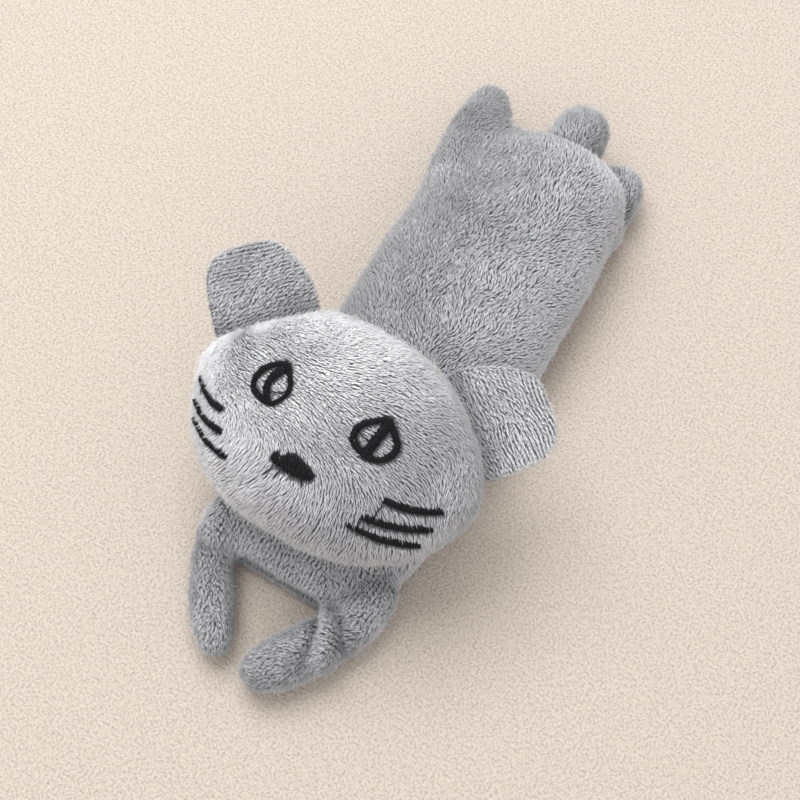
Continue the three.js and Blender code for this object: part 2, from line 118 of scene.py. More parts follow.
# Limbs, each from a root inside the body to its tip, in mm: root, tip, width, thickness, outward bow
LIMBS = {
    "right_arm": ((-23.4, -69.0, 8.0), (-1.4, -108.2, 8.0), 13.8, 14.8, -3.2),
    "left_arm": ((32.0, -69.0, 8.0), (10.4, -110.3, 8.0), 17.0, 16.0, 2.8),
    "right_leg": ((-21.3, 74.0, 13.5), (-24.6, 107.6, 14.0), 17.5, 17.0, 0.0),
    "left_leg": ((31.0, 78.0, 8.0), (29.3, 104.4, 8.0), 19.0, 15.0, 0.0),
    "tail": ((10.9, 84.0, 21.2), (11.2, 109.2, 21.2), 17.5, 16.5, 0.0),
}
PAIRED_LIMBS = ("right_arm", "left_arm", "right_leg", "left_leg")
HAUNCH = ((-15.0, 58.0, 20.5), (-22.5, 103.0, 15.0), 23.0, 21.0, 0.0)
BOW_SKEW = 0.85
ARM_CUT = -79.0 * MM
ARM_BEND = 12.0 * MM
LEG_CUT = 97.2 * MM
LEG_BEND = 6.0 * MM
TAIL_CUT = 95.0 * MM
TAIL_BEND = 6.0 * MM
BENDS = {
    "arm": (ARM_CUT, ARM_CUT - ARM_BEND),
    "leg": (LEG_CUT, LEG_CUT + LEG_BEND),
    "tail": (TAIL_CUT, TAIL_CUT + TAIL_BEND),
}

# Head
NECK = np.array((0.0, -29.66, 25.59)) * MM
HEAD_TILT = 22.26
HEAD_SEAM = 17 * MM
HEAD_WIDTH = 97 * MM
HEAD_HEIGHT = 70 * MM
HEAD_FORWARD = 2.5 * MM
FACE_RISE = 22 * MM
NAPE_RISE = 15 * MM
CROWN_WIDTH = 82 * MM
CHIN_WIDTH = 87 * MM
CHEEK_TUCK = 2.4 * MM
CHEEK_TUCK_STEP = (8 * MM, -10 * MM)
CHEEK_BULGE = 2.2 * MM
CHEEK_HEIGHT = 5 * MM
CHEEK_SPREAD = 20 * MM

# Ears, in a frame whose y runs out from the head
EAR_PLACE = np.array((36.57, 20.6, 17.0)) * MM
EAR_TURN = 40.0
EAR_WIDTH = 34 * MM
EAR_HEIGHTS = {"right": 20.4 * MM, "left": 21.6 * MM}
EAR_TUCK = 15 * MM
EAR_PLY = 3.2 * MM
EAR_INSET = 0.8 * MM
EAR_GRID = 72
EAR_BEND = 6 * MM
EAR_CURL = 1.0 * MM
EAR_SLOPE = 0.38
EAR_SLOPE_PAST = 1 * MM
EAR_HIDDEN = -6.6 * MM
EAR_CHORD = {"right": -4.6 * MM, "left": -0.6 * MM}
HEAD_CHORD = {"right": -7.4 * MM, "left": -1.6 * MM}
HEAD_FLATTEN = 0.1
HEAD_FLATTEN_STEP = (EAR_WIDTH * 0.46, EAR_WIDTH * 0.62)
RIB_PITCH = 1.15 * MM
RIB_DEPTH = 0.14 * MM
RIB_PULL = {"right": 0.25, "left": 0.28}

# Filling, as a cloth simulation on an enlarged copy, and how full each skin is
SIM_SCALE = 10.0
SIM_FRAMES = 20
SIM_QUALITY = 5
SIM_STIFFNESS = 25
SIM_BENDING = 2
SIM_PRESSURE = 4.0
SIM_CAP = 1.5 * MM

# Noise: the size of its features, and a shift that takes each use to a part of its own
NOISE = {
    "lumps": (17 * MM, 0.0),
    "swirl": (22 * MM, 0.0),
    "ripple": (6 * MM, 3.7),
    "rows": (8 * MM, 5.3),
    "lean": (8 * MM, 1.9),
    "patch": (26 * MM, 9.1),
    "fleck": (8 * MM, 6.3),
}
LUMP_DEPTH = 1.1 * MM
LUMP_STEP = (4 * MM, 12 * MM)
HEAD_LUMP_DEPTH = 0.6 * LUMP_DEPTH
ROW_WANDER = 1.0 * MM

# Seams pressed into the skin, and the lip of the belly under the front one
SEAM_DEPTH = 0.9 * MM
SEAM_SPREAD = 1.5 * MM
SEAM_FADE = 4 * MM
SEAM_FACING_STEP = (0.8, 0.4)
FRONT_SEAM = 4.5 * MM
FRONT_DEPTH = 1.4 * MM
FRONT_SPREAD = 0.8 * MM
FRONT_STEP = (-68 * MM, -73 * MM)
LIP_FRONT = -77.0 * MM
LIP_SIDE_STEPS = ((-21 * MM, -15 * MM), (25 * MM, 19 * MM))
LIP_BACK_STEP = (-62 * MM, -68 * MM)
LIP_FOOT_STEP = (0.8 * MM, 1.6 * MM)
LIP_EDGE_STEP = (FRONT_SEAM + 0.5 * MM, FRONT_SEAM - 1 * MM)

# Folds, in mm: places along each in the floor plane, its depth and its spread. A depth under 0 is a ridge
FOLDS = (
    (((16.5, -79.0), (20.3, -82.5), (22.3, -88.0), (24.5, -97.0)), 5.0, 1.2),
    (((24.0, -78.5), (28.5, -82.0), (33.0, -87.5)), 3.6, 1.3),
    (((21.0, -79.5), (24.5, -83.5), (27.5, -89.0), (29.5, -95.0)), -2.2, 1.7),
    (((18.0, -74.0), (25.0, -77.5), (33.0, -82.0)), 1.8, 1.3),
    (((-27.0, -79.0), (-20.0, -80.5), (-13.0, -77.5)), 2.0, 1.4),
    (((20.5, 98.7), (26.4, 95.4), (30.4, 92.9), (34.1, 89.3), (37.3, 85.1), (40.0, 80.0)), 3.6, 1.5),
)
FOLD_START_STEP = (-0.1, 0.25)
FOLD_END_STEP = (1.15, 0.75)
FOLD_FACING_STEP = (-0.3, 0.2)
# Painted shade in the folds, and painted light on the ridges, for each mm of depth
FOLD_SHADE = 0.12

# Pile: a tuft is a bent spike that stands for a few fibres
TUFTS_PER_PIECE = 31000
TUFT_SIDES = 3
TUFT_RADIUS = 0.09 * MM
TUFT_ROOT = 0.25 * MM
TUFT_LENGTHS = (0.75, 1.2)
TUFT_GIRTHS = (0.75, 1.25)
CLUMP_CHOICES = 7
CLUMP_LEAN = 0.25
CLUMP_TURN = 1.5
STRAY_SHARE = 0.06
STRAY_LIFT = 0.45
STRAY_GROWTH = 1.5
STRAY_PULL = 0.3
STAND_BACK = 0.3
FOOT_PULL = 0.45
TIP_PULL = 0.2
FACING_UP = 0.6
FACING_OUT = 0.4
FACING_TIP = 0.2
MID_TONE = 0.5
PATCH_TONE = 0.2
FLECK_TONE = 0.22
TUFT_TONE = 0.08
UV_MARGIN = 0.02
UV_SPAN = 0.96
UV_SPREAD = 0.008

# The halves of a tuft: the share of its length, how far it leans beside the coat, how far that strays, and
# the least and the most that it leans
LOWER = SimpleNamespace(share=0.45, lean=-0.45, stray=0.1, least=0.1, most=1.3)
UPPER = SimpleNamespace(share=0.55, lean=0.35, stray=0.16, least=0.4, most=1.5)

# Coats of pile: tufts to a square metre, their length and lean, how far they swirl and ripple, how many
# stand in a clump, how many times longer than wide a clump is, how close it draws together, how untidy it
# is, and how far its tone strays
COATS = {
    "body": SimpleNamespace(
        density=11.0e6, length=1.65 * MM, lean=0.7, swirl=0.9, ripple=0.8,
        clump=5, stretch=1.6, pull=0.74, mess=0.22, fleck=0.23,
    ),
    "tail": SimpleNamespace(
        density=11.0e6, length=2.4 * MM, lean=0.45, swirl=0.8, ripple=0.8,
        clump=5, stretch=1.5, pull=0.65, mess=0.28, fleck=0.2,
    ),
    "head": SimpleNamespace(
        density=12.0e6, length=1.75 * MM, lean=0.85, swirl=0.4, ripple=0.25,
        clump=9, stretch=2.8, pull=0.6, mess=0.09, fleck=0.15,
    ),
    "ear": SimpleNamespace(
        density=12.0e6, length=1.4 * MM, lean=0.95, swirl=0.3, ripple=0.4,
        clump=6, stretch=2.4, pull=0.6, mess=0.12, fleck=0.16,
    ),
}

# Pile of the body and the tail: how it lies, and how far painted shade darkens it. A lift is painted light, a
# shade's opposite
BODY_DRIFT = 0.15
PARTING = -40 * MM
PARTING_REACH = 16 * MM
# Painted shade on the toy's right side and painted light on its left, falling from side to side
BODY_SHADE = 1.4
# Painted shade on the rear
REAR_SHADE = 0.2
REAR_STEP = (25 * MM, 75 * MM)
CHEST_STEP = (-45 * MM, -58 * MM)
CHEST_ROWS = np.array((1.0, 0.0, 0.0))
CHEST_ROW_PITCH = 1.5 * MM
CHEST_ROW_PULL = 0.25
CHEST_COMB = 0.7
CHEST_CALM = 0.75
CHEST_LEAN = 0.35
# Painted light on the chest in the head's shadow, which ARM_SHADE turns to painted shade on the arms
CHEST_LIFT = 0.85
CHEST_EVEN = 0.9
ARM_SHADE = 1.15
ARM_STEP = (-66 * MM, -86 * MM)
ELBOW = np.array((26.5, -84.5, 12.0)) * MM
ELBOW_REACH = 7 * MM
ELBOW_ROWS = np.array((-0.15, 0.99, 0.0))
ELBOW_ROW_PITCH = 1.7 * MM
ELBOW_ROW_PULL = 0.5
ELBOW_LIE = np.array((-1.0, -0.15, 0.0))
# Painted shade along the front seam, and painted light on the lip under it
SEAM_SHADE = 0.8
LIP_LIFT = 0.5
# Painted shade on the left leg under the body's edge
LEG_SHADE = 0.6
LEG_WIDTH_STEP = (20 * MM, 28 * MM)
LEG_LENGTH_STEP = (84 * MM, 95 * MM)
LEG_HEIGHT_STEP = (18 * MM, 13 * MM)
# A painted highlight on the right haunch
HAUNCH_HIGHLIGHT = np.array((-20.5, 61.5)) * MM
HAUNCH_HIGHLIGHT_REACH = 4.5 * MM
HAUNCH_HIGHLIGHT_LIFT = 0.65
TAIL_LIE = np.array((0.0, 0.6, 0.0))
# Painted shade on the tail
TAIL_SHADE = 2 * REAR_SHADE
TAIL_OVERLAP = 3 * MM

# Pile of the head and the ears. A patch of painted shade has its middle and its radius in mm, and a shade
LOW_FACE_STEP = (2 * MM, -30 * MM)
CHEEK_STEP = (28 * MM, 44 * MM)
FACE_TURN = 1.2
FACE_FAN = 60 * MM
FACE_FALL = 0.95
FACE_SINK = 0.4
# Painted light over the head, painted shade towards its lower right and where it faces sideways
HEAD_LIFT = 0.24
HEAD_SHADE = 0.58
HEAD_SHADE_SLANT = 0.45
HEAD_SHADE_STEP = (-18 * MM, 30 * MM)
HEAD_SIDE_SHADE = 0.6
HEAD_SIDE_STEP = (0.55, 0.05)
PAINTED_SHADE_PATCHES = (((30.0, -2.0), 13.0, 0.15), ((-5.0, -28.0), 9.0, 0.15), ((0.0, -3.0), 11.0, 0.22))
EAR_DRIFT = 0.3
# Painted light on each ear, and painted shade where each leaves the head
EAR_LIFT = {"right": 0.05, "left": 0.42}
EAR_SHADE = 1.1
EAR_SHADE_REACH = 2.0 * MM

# Grained surfaces: scale of the grain, dark and light colour, depth of relief, roughness, and the values of
# the grain at which dark ends and light begins, where they differ from most
GRAINED = {
    # The grounds under the pile are their backing's colour darkened with painted shade deep in the pile
    "plush_ground": (900, (0.06, 0.061, 0.065), (0.11, 0.111, 0.117), 0.4 * MM, 0.95),
    "head_ground": (900, (0.12, 0.121, 0.128), (0.2, 0.202, 0.212), 0.4 * MM, 0.95),
    "ear_ground": (900, (0.07, 0.07, 0.075), (0.12, 0.12, 0.128), 0.4 * MM, 0.95),
    # The black thread's lighter grain specks are partly painted glints on the thread
    "black_thread": (2600, (0.003, 0.003, 0.0034), (0.022, 0.022, 0.024), 0.1 * MM, 0.42),
    "grey_thread": (2600, (0.25, 0.255, 0.27), (0.45, 0.455, 0.47), 0.1 * MM, 0.42),
    "squeaker_plastic": (60, (0.72, 0.7, 0.64), (0.8, 0.78, 0.72), 0.05 * MM, 0.4),
    "pale_floor": (1250, (0.41, 0.357, 0.309), (0.62, 0.545, 0.482), 0.8 * MM, 0.9, (0.3, 0.6)),
}
GRAIN_EDGES = (0.3, 0.7)
GRAIN_DETAIL = 3
THREAD_SPECULAR = 0.1

# Colours of pile at its root, halfway and at its tip, how far its tone dims and lifts them, and its finish
# The dark roots are partly painted shade deep in the pile
PILES = {
    "body_pile": ((0.065, 0.066, 0.07), (0.42, 0.424, 0.45), (0.8, 0.804, 0.835)),
    # The head's pile is the body's fabric painted lighter, as painted light on the head
    "head_pile": ((0.15, 0.151, 0.16), (0.71, 0.714, 0.742), (0.92, 0.923, 0.945)),
    "ear_pile": ((0.06, 0.06, 0.064), (0.47, 0.475, 0.5), (0.88, 0.885, 0.91)),
}
PILE_PLACES = (0.0, 0.5, 1.0)
PILE_TONES = (0.65, 1.25)
PILE_FINISH = {"Roughness": 0.85, "Specular IOR Level": 0.2, "Sheen Weight": 0.4, "Sheen Roughness": 0.5}

# Embroidery, in the plane of the face: x to the toy's left, y to its crown
THREAD_RADIUS = 0.15 * MM
THREAD_SIDES = 6
UNDERLAY_RADIUS = 0.42 * MM
UNDERLAY_SHARES = (0.2, 0.4, 0.6, 0.8)
LOOSE_RADIUS = 0.16 * MM
LOOSE_POINTS = 14
LOOSE_STRAY = 0.12 * MM
STITCH_POINTS = 6
STITCH_STEP = 0.27 * MM
STITCH_STRAY = 0.22 * MM
STITCH_LIFT_STRAY = 0.05 * MM
STITCH_CLEAR = 0.45 * MM
STITCH_LOW = 0.9 * MM
STITCH_ARCH = 0.75 * MM
SPECK_SHARE = 0.008
OVER_FACE = 70 * MM

# Bands of stitches, in mm, as places along the middle and the width at each
EYE_RINGS = {
    "right": (
        (-16.3, 10.4, 2.2), (-14.8, 9.2, 1.1), (-13.7, 7.7, 1.1), (-12.6, 6.2, 1.1), (-12.1, 4.4, 1.0),
        (-12.3, 2.6, 0.6), (-13.6, 0.2, 0.8), (-15.1, -1.3, 1.2), (-17.8, -1.3, 1.7), (-20.3, -0.7, 1.6),
        (-22.1, 0.1, 1.2), (-22.9, 1.6, 1.2), (-23.1, 3.2, 1.3), (-22.3, 5.7, 1.5), (-20.9, 7.6, 1.2),
        (-18.7, 9.4, 0.9), (-16.3, 10.4, 2.2),
    ),
    "left": (
        (16.6, 10.5, 1.9), (18.0, 9.3, 1.6), (19.8, 7.8, 1.6), (21.7, 6.0, 1.7), (22.3, 4.4, 1.7),
        (22.1, 2.5, 1.7), (21.1, 0.7, 1.6), (19.6, -0.5, 1.6), (17.6, -1.2, 1.7), (14.9, -1.1, 1.9),
        (12.2, -0.1, 1.9), (10.4, 1.3, 1.8), (9.9, 3.4, 1.8), (10.6, 5.8, 1.7), (12.4, 7.6, 1.5),
        (14.6, 9.4, 1.3), (16.6, 10.5, 1.9),
    ),
}
EYE_SLITS = {
    "right": (
        (-16.3, 9.9, 2.9), (-17.6, 7.0, 2.4), (-18.6, 4.8, 2.1), (-18.7, 2.6, 1.9), (-17.8, 0.5, 1.8),
        (-16.4, -0.9, 1.6),
    ),
    "left": ((16.8, 10.0, 2.2), (16.7, 7.1, 2.8), (16.2, 4.3, 3.0), (15.8, 1.8, 3.0), (15.4, -0.8, 2.9)),
}

# Ends of some of the nose's stitches, in mm, from its right end to its left: low x, low y, high x, high y
NOSE = (
    (-7.3, -14.6, -7.8, -13.6), (-6.6, -15.2, -7.2, -12.3), (-5.4, -15.8, -5.7, -12.2),
    (-4.6, -15.9, -4.8, -12.5), (-3.9, -16.0, -4.3, -11.3), (-2.6, -16.1, -3.2, -10.4),
    (-0.6, -16.3, -1.4, -10.1), (1.4, -16.4, 0.8, -10.7), (3.2, -15.9, 3.0, -11.4),
    (4.9, -14.8, 4.6, -12.2), (5.7, -13.7, 5.4, -12.7),
)

# Whiskers, in mm: inner end, outer end, and the width at each
WHISKERS = {
    "right": (
        ((-27.9, -9.9), (-39.8, -5.5), 1.9, 1.4),
        ((-24.9, -15.4), (-38.5, -12.1), 1.8, 1.2),
        ((-19.9, -21.1), (-36.2, -16.8), 1.6, 1.1),
    ),
    "left": (
        ((25.7, -9.6), (40.7, -5.1), 2.1, 1.8),
        ((22.3, -16.6), (40.1, -11.1), 2.0, 1.8),
        ((19.7, -20.6), (39.0, -16.9), 0.9, 1.8),
    ),
}
WHISKER_POINTS = 12
WHISKER_SAG = 1.2
WHISKER_WIDEN = 2
WHISKER_END = 0.6
WHISKER_END_RISE = 4

# Loose threads of a piece of embroidery, in mm, each as places along it
LOOSE_THREADS = {
    "right_eye_slit": (((-16.6, 1.3), (-15.2, 2.3), (-14.0, 2.4), (-12.4, 3.9)),),
    "left_eye_slit": (((11.2, 4.0), (12.4, 3.2), (14.3, 2.8)),),
    "nose_stitches": (
        ((-6.0, -15.4), (-6.2, -16.8), (-7.5, -19.4)),
        ((-3.4, -15.9), (-3.5, -16.4), (-4.5, -18.6)),
        ((3.2, -15.6), (3.8, -17.0)),
    ),
    "left_whisker_1_stitches": (((25.6, -9.8), (25.4, -12.6), (25.0, -15.6)),),
    "left_whisker_2_stitches": (((22.2, -16.8), (22.3, -18.6), (22.0, -20.1)),),
}

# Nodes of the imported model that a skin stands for, and those that get a material of their own
TORSO_NODES = ("back_panel", "belly_panel", "body_stuffing_upper", "body_stuffing_lower")
HEAD_NODES = ("face_panel", "head_back_panel", "head_stuffing")
NODE_MATERIALS = {
    "neck_stitches": "grey_thread",
    "squeaker_cup": "squeaker_plastic",
    "squeaker_reed_tube": "squeaker_plastic",
    "squeaker_reed": "squeaker_plastic",
    "squeaker_dome": "squeaker_plastic",
}


# Mesh helpers

def link(name, data):
    """An object in the scene for a mesh, a lamp or a camera."""
    obj = bpy.data.objects.new(name, data)
    bpy.context.scene.collection.objects.link(obj)
    return obj


def add_object(name, verts, faces):
    """An object from points and faces of any size."""
    mesh = bpy.data.meshes.new(name)
    mesh.from_pydata(np.asarray(verts).tolist(), [], faces)
    return link(name, mesh)


def triangle_mesh(name, verts, tris):
    """A mesh of many triangles."""
    mesh = bpy.data.meshes.new(name)
    mesh.vertices.add(len(verts))
    mesh.vertices.foreach_set("co", verts.astype(np.float32).ravel())
    mesh.loops.add(tris.size)
    mesh.loops.foreach_set("vertex_index", tris.astype(np.int32).ravel())
    mesh.polygons.add(len(tris))
    mesh.polygons.foreach_set("loop_start", np.arange(0, tris.size, 3, dtype=np.int32))
    mesh.update(calc_edges=True)
    return mesh


def vectors_of(items, label):
    """A vector of each item as an array."""
    flat = np.empty(len(items) * 3, np.float32)
    items.foreach_get(label, flat)
    return flat.reshape(-1, 3).astype(float)


def points_of(mesh):
    """A mesh's points as an array."""
    return vectors_of(mesh.vertices, "co")


def normals_of(mesh):
    """A mesh's point normals as an array."""
    return vectors_of(mesh.vertex_normals, "vector")


def set_points(mesh, verts):
    """Moves a mesh's points."""
    mesh.vertices.foreach_set("co", verts.astype(np.float32).ravel())
    mesh.update()


def smooth(obj):
    """Shades an object's faces smoothly."""
    obj.data.polygons.foreach_set("use_smooth", np.ones(len(obj.data.polygons), bool))


def unit(vectors):
    """Vectors at length 1."""
    return vectors / np.maximum(np.linalg.norm(vectors, axis=-1, keepdims=True), 1e-12)


def noise_at(points, kind):
    """Smooth noise of a kind from -1 to 1 at each point."""
    size, shift = NOISE[kind]
    spot = points / size + shift
    cell = np.floor(spot).astype(int)
    part = spot - cell
    ease = part * part * (3 - 2 * part)
    total = np.zeros(len(points))
    for corner in np.ndindex(2, 2, 2):
        share = np.where(np.array(corner) == 1, ease, 1 - ease).prod(1)
        total += share * LATTICE[tuple(((cell + corner) % LATTICE_SIZE).T)]
    return total


def smoothstep(value, start, end):
    """A soft step, 0 before its start and 1 past its end."""
    share = np.clip((value - start) / (end - start), 0, 1)
    return share * share * (3 - 2 * share)


def groove(distance, spread):
    """A soft groove's profile, 1 at its middle."""
    return np.exp(-((distance / spread) ** 2))


def settle(obj):
    """Gives an object the mesh that its modifiers make."""
    graph = bpy.context.evaluated_depsgraph_get()
    made = bpy.data.meshes.new_from_object(obj.evaluated_get(graph))
    old = obj.data
    obj.modifiers.clear()
    obj.data = made
    bpy.data.meshes.remove(old)
    return obj


def ring_faces(rings, sides):
    """Faces that join each ring of points to the next. They look in where rings turn left along their way."""
    faces = []
    for ring in range(rings - 1):
        for side in range(sides):
            after = (side + 1) % sides
            low, high = ring * sides, (ring + 1) * sides
            faces.append((low + side, low + after, high + after, high + side))
    return faces


def join(parts):
    """Points and faces of several parts as one."""
    verts = np.concatenate([part[0] for part in parts])
    starts = np.cumsum([0] + [len(part[0]) for part in parts])
    faces = [[i + start for i in face] for part, start in zip(parts, starts) for face in part[1]]
    return verts, faces


# Frames

def frame_matrix(origin, x, y, z):
    """A 4 x 4 matrix from an origin and three axes."""
    matrix = np.eye(4)
    matrix[:3, 0], matrix[:3, 1], matrix[:3, 2], matrix[:3, 3] = x, y, z, origin
    return matrix


def moved(points, matrix):
    """Points moved by a matrix."""
    return points @ matrix[:3, :3].T + matrix[:3, 3]


def local(points, matrix):
    """Points in the frame of a matrix."""
    return (points - matrix[:3, 3]) @ matrix[:3, :3]


def turn_frame(origin, degrees, parent):
    """A frame at a place of its parent, turned about the parent's z."""
    angle = math.radians(degrees)
    cos, sin = math.cos(angle), math.sin(angle)
    return parent @ frame_matrix(origin, (cos, sin, 0), (-sin, cos, 0), (0, 0, 1))


tilt = math.radians(HEAD_TILT)
head_frame = frame_matrix(
    NECK, (1, 0, 0), (0, math.cos(tilt), math.sin(tilt)), (0, -math.sin(tilt), math.cos(tilt))
)
ear_frames = {
    name: turn_frame(EAR_PLACE * (side, 1, 1), -side * EAR_TURN, head_frame) for name, side in SIDES
}


# Forms

def signed_power(value, power):
    """A power that keeps the sign."""
    return np.sign(value) * np.abs(value) ** power


def stuffed(length, middle, swell, powers, inset=SKIN_INSET, rings=FORM_RINGS, sides=FORM_SIDES):
    """A sphere's grid drawn out along Y that swells to a width, a rise and a sink round its seam."""
    rear, front, above, below = powers
    latitude = np.linspace(-math.pi / 2, math.pi / 2, rings + 1)[1:-1, None]
    turn = np.linspace(0, 2 * math.pi, sides, endpoint=False)[None, :]
    plan = np.where(latitude < 0, front, rear)
    girth = np.cos(latitude) ** plan
    station = signed_power(np.sin(latitude), plan)
    width, rise, sink, seam = swell(station)
    depth = np.where(np.sin(turn) > 0, rise, sink) - inset
    section = np.where(np.sin(turn) > 0, above, below)
    x = (width / 2 - inset) * girth * signed_power(np.cos(turn), section)
    y = middle + station * (length / 2 - inset) + 0 * turn
    z = seam + depth * girth * signed_power(np.sin(turn), section)
    grid = np.stack((x, y, z), -1).reshape(-1, 3)
    ends = []
    for sign in (-1, 1):
        seam_end = np.ravel(swell(np.array([float(sign)]))[3])[0]
        ends.append((0, middle + sign * (length / 2 - inset), seam_end))
    # These rings turn left, so each face is turned over to look out
    faces = [face[:1] + face[:0:-1] for face in ring_faces(rings - 1, sides)]
    first, last, top = len(grid), len(grid) + 1, (rings - 2) * sides
    for side in range(sides):
        after = (side + 1) % sides
        faces.append((first, side, after))
        faces.append((last, top + after, top + side))
    return np.concatenate((grid, ends)), faces


def even_swell(width, depth):
    """A swell that is the same all along a form, on both sides of a seam at 0."""

    def swell(station):
        same = np.ones_like(station)
        return width * same, depth * same, depth * same, 0 * same

    return swell


def side_seam(from_chest):
    """The height of the body's side seam at a distance from the front of the chest."""
    return CHEST_SEAM + (RUMP_SEAM - CHEST_SEAM) * from_chest / BODY_LENGTH


def body_swell(station):
    """The body's swell, which slopes down to the chest."""
    from_chest = (1 + station) * BODY_LENGTH / 2
    slope = smoothstep(from_chest, *SLOPE_STEP)
    seam = side_seam(from_chest)
    width = CHEST_WIDTH + (BODY_WIDTH - CHEST_WIDTH) * slope
    rise = CHEST_RISE + (BACK_RISE - CHEST_RISE) * slope
    return width, rise, seam, seam


def body_part():
    """The body in its place: its chest bends to one side, and its rump thins out to the right leg."""
    verts, faces = stuffed(BODY_LENGTH, 0.0, body_swell, BODY_POWERS)
    verts += BODY_MIDDLE
    verts[:, 1] -= CHEST_REACH * smoothstep(verts[:, 1], *CHEST_REACH_STEP)
    verts[:, 0] += CHEST_SHIFT * smoothstep(verts[:, 1], *CHEST_SHIFT_STEP)
    drop = smoothstep(verts[:, 1], *RUMP_LENGTH_STEP) * smoothstep(verts[:, 0], *RUMP_WIDTH_STEP)
    verts[:, 2] -= np.maximum(verts[:, 2] - RUMP_SEAM, 0) * RUMP_DROP * drop
    return verts, faces


def limb_part(limb):
    """A limb in its place, bowed outwards."""
    root, tip, width, thick, bow = limb
    root, tip = np.array(root) * MM, np.array(tip) * MM
    reach = np.linalg.norm(tip - root)
    swell = even_swell(width * MM, thick / 2 * MM)
    verts, faces = stuffed(reach + width / 2 * MM, 0.0, swell, LIMB_POWERS, LIMB_INSET)
    verts[:, 1] += (reach - width / 2 * MM) / 2
    share = np.clip(verts[:, 1] / reach, 0, 1)
    y_axis = (tip - root) / reach
    x_axis = np.array((y_axis[1], -y_axis[0], 0.0))
    verts = moved(verts, frame_matrix(root, x_axis, y_axis, (0, 0, 1)))
    verts[:, 0] += bow * MM * np.sin(math.pi * share**BOW_SKEW)
    return verts, faces


def head_swell(station):
    """The head's swell, narrower at the crown and at the chin."""
    side = np.where(station > 0, CROWN_WIDTH, CHIN_WIDTH)
    width = HEAD_WIDTH + (side - HEAD_WIDTH) * np.abs(station)
    same = np.ones_like(width)
    return width, FACE_RISE * same, NAPE_RISE * same, HEAD_SEAM * same


def head_part():
    """The head in its place: fuller on its left cheek, and flattened where the ears are sewn on."""
    verts, faces = stuffed(HEAD_HEIGHT, -HEAD_FORWARD, head_swell, HEAD_POWERS)
    across = verts[:, 0] / (HEAD_WIDTH / 2)
    tuck = CHEEK_TUCK * np.maximum(-across, 0) * smoothstep(verts[:, 1], *CHEEK_TUCK_STEP)
    bulge = CHEEK_BULGE * np.maximum(across, 0) ** 2 * groove(verts[:, 1] - CHEEK_HEIGHT, CHEEK_SPREAD)
    verts[:, 0] += tuck + bulge
    verts = moved(verts, head_frame)
    for name, ear_frame in ear_frames.items():
        spot = local(verts, ear_frame)
        over = np.maximum(spot[:, 1] - HEAD_CHORD[name], 0)
        share = 1 - smoothstep(np.abs(spot[:, 0]), *HEAD_FLATTEN_STEP)
        spot[:, 1] -= over * (1 - HEAD_FLATTEN) * share
        verts = moved(spot, ear_frame)
    return verts, faces


def ear_part(name, side):
    """A flat ear in its place, with its root tucked into the head and its inner edge sloped."""
    height = EAR_HEIGHTS[name]
    swell = even_swell(EAR_WIDTH, EAR_PLY / 2)
    middle = (height - EAR_TUCK) / 2
    verts, faces = stuffed(height + EAR_TUCK, middle, swell, EAR_POWERS, EAR_INSET, EAR_GRID, EAR_GRID)
    inner = (verts[:, 0] * side < 0) * smoothstep(verts[:, 1], 0, height + EAR_SLOPE_PAST)
    verts[:, 0] *= 1 - EAR_SLOPE * inner
    verts[:, 2] += EAR_CURL * (2 * verts[:, 0] / EAR_WIDTH) ** 2
    return moved(verts, ear_frames[name]), faces


def softened(obj, iterations, group=""):
    """Smooths a skin, all over or as far as a group of its points goes."""
    soft = obj.modifiers.new("Soft", "SMOOTH")
    soft.factor = SOFTEN_FACTOR
    soft.iterations = iterations
    soft.vertex_group = group
    return settle(obj)


def remeshed(name, parts, voxel):
    """One even skin round several parts."""
    obj = add_object(name, *join(parts))
    even = obj.modifiers.new("Even", "REMESH")
    even.mode = "VOXEL"
    even.voxel_size = voxel
    return softened(obj, SKIN_SOFTEN)


def rump_rounded(obj):
    """Rounds off the crease between the rump and the right leg."""
    gap = np.linalg.norm(points_of(obj.data) - RUMP_FILLET, axis=1)
    group = obj.vertex_groups.new(name="Round")
    for index, share in enumerate(smoothstep(gap, RUMP_FILLET_REACH, RUMP_FILLET_CORE)):
        group.add([index], share, "REPLACE")
    return softened(obj, RUMP_FILLET_SOFTEN, group.name)


def filled(obj, floor=0.0):
    """Blows a skin up as cloth, held near its shape and over the floor."""
    rest = points_of(obj.data)
    obj.data.transform(Matrix.Scale(SIM_SCALE, 4))
    cloth = obj.modifiers.new("Filling", "CLOTH")
    settings = cloth.settings
    settings.quality = SIM_QUALITY
    settings.tension_stiffness = SIM_STIFFNESS
    settings.compression_stiffness = SIM_STIFFNESS
    settings.bending_stiffness = SIM_BENDING
    settings.use_pressure = True
    settings.uniform_pressure_force = SIM_PRESSURE
    settings.effector_weights.gravity = 0
    cloth.point_cache.frame_end = SIM_FRAMES
    scene = bpy.context.scene
    for step in range(1, SIM_FRAMES + 1):
        scene.frame_set(step)
    graph = bpy.context.evaluated_depsgraph_get()
    blown = points_of(obj.evaluated_get(graph).data) / SIM_SCALE
    scene.frame_set(1)
    obj.modifiers.clear()
    shift = blown - rest
    length = np.linalg.norm(shift, axis=1, keepdims=True)
    shift *= np.minimum(1, SIM_CAP / np.maximum(length, 1e-9))
    result = rest + shift
    result[:, 2] = np.maximum(result[:, 2], floor)
    set_points(obj.data, result)
    fine = obj.modifiers.new("Fine", "SUBSURF")
    fine.levels = 1
    return settle(obj)


def pressed(obj, depth):
    """Moves a skin's points inwards by a depth at each."""
    verts, normals = points_of(obj.data), normals_of(obj.data)
    set_points(obj.data, verts - normals * depth(verts, normals)[:, None])


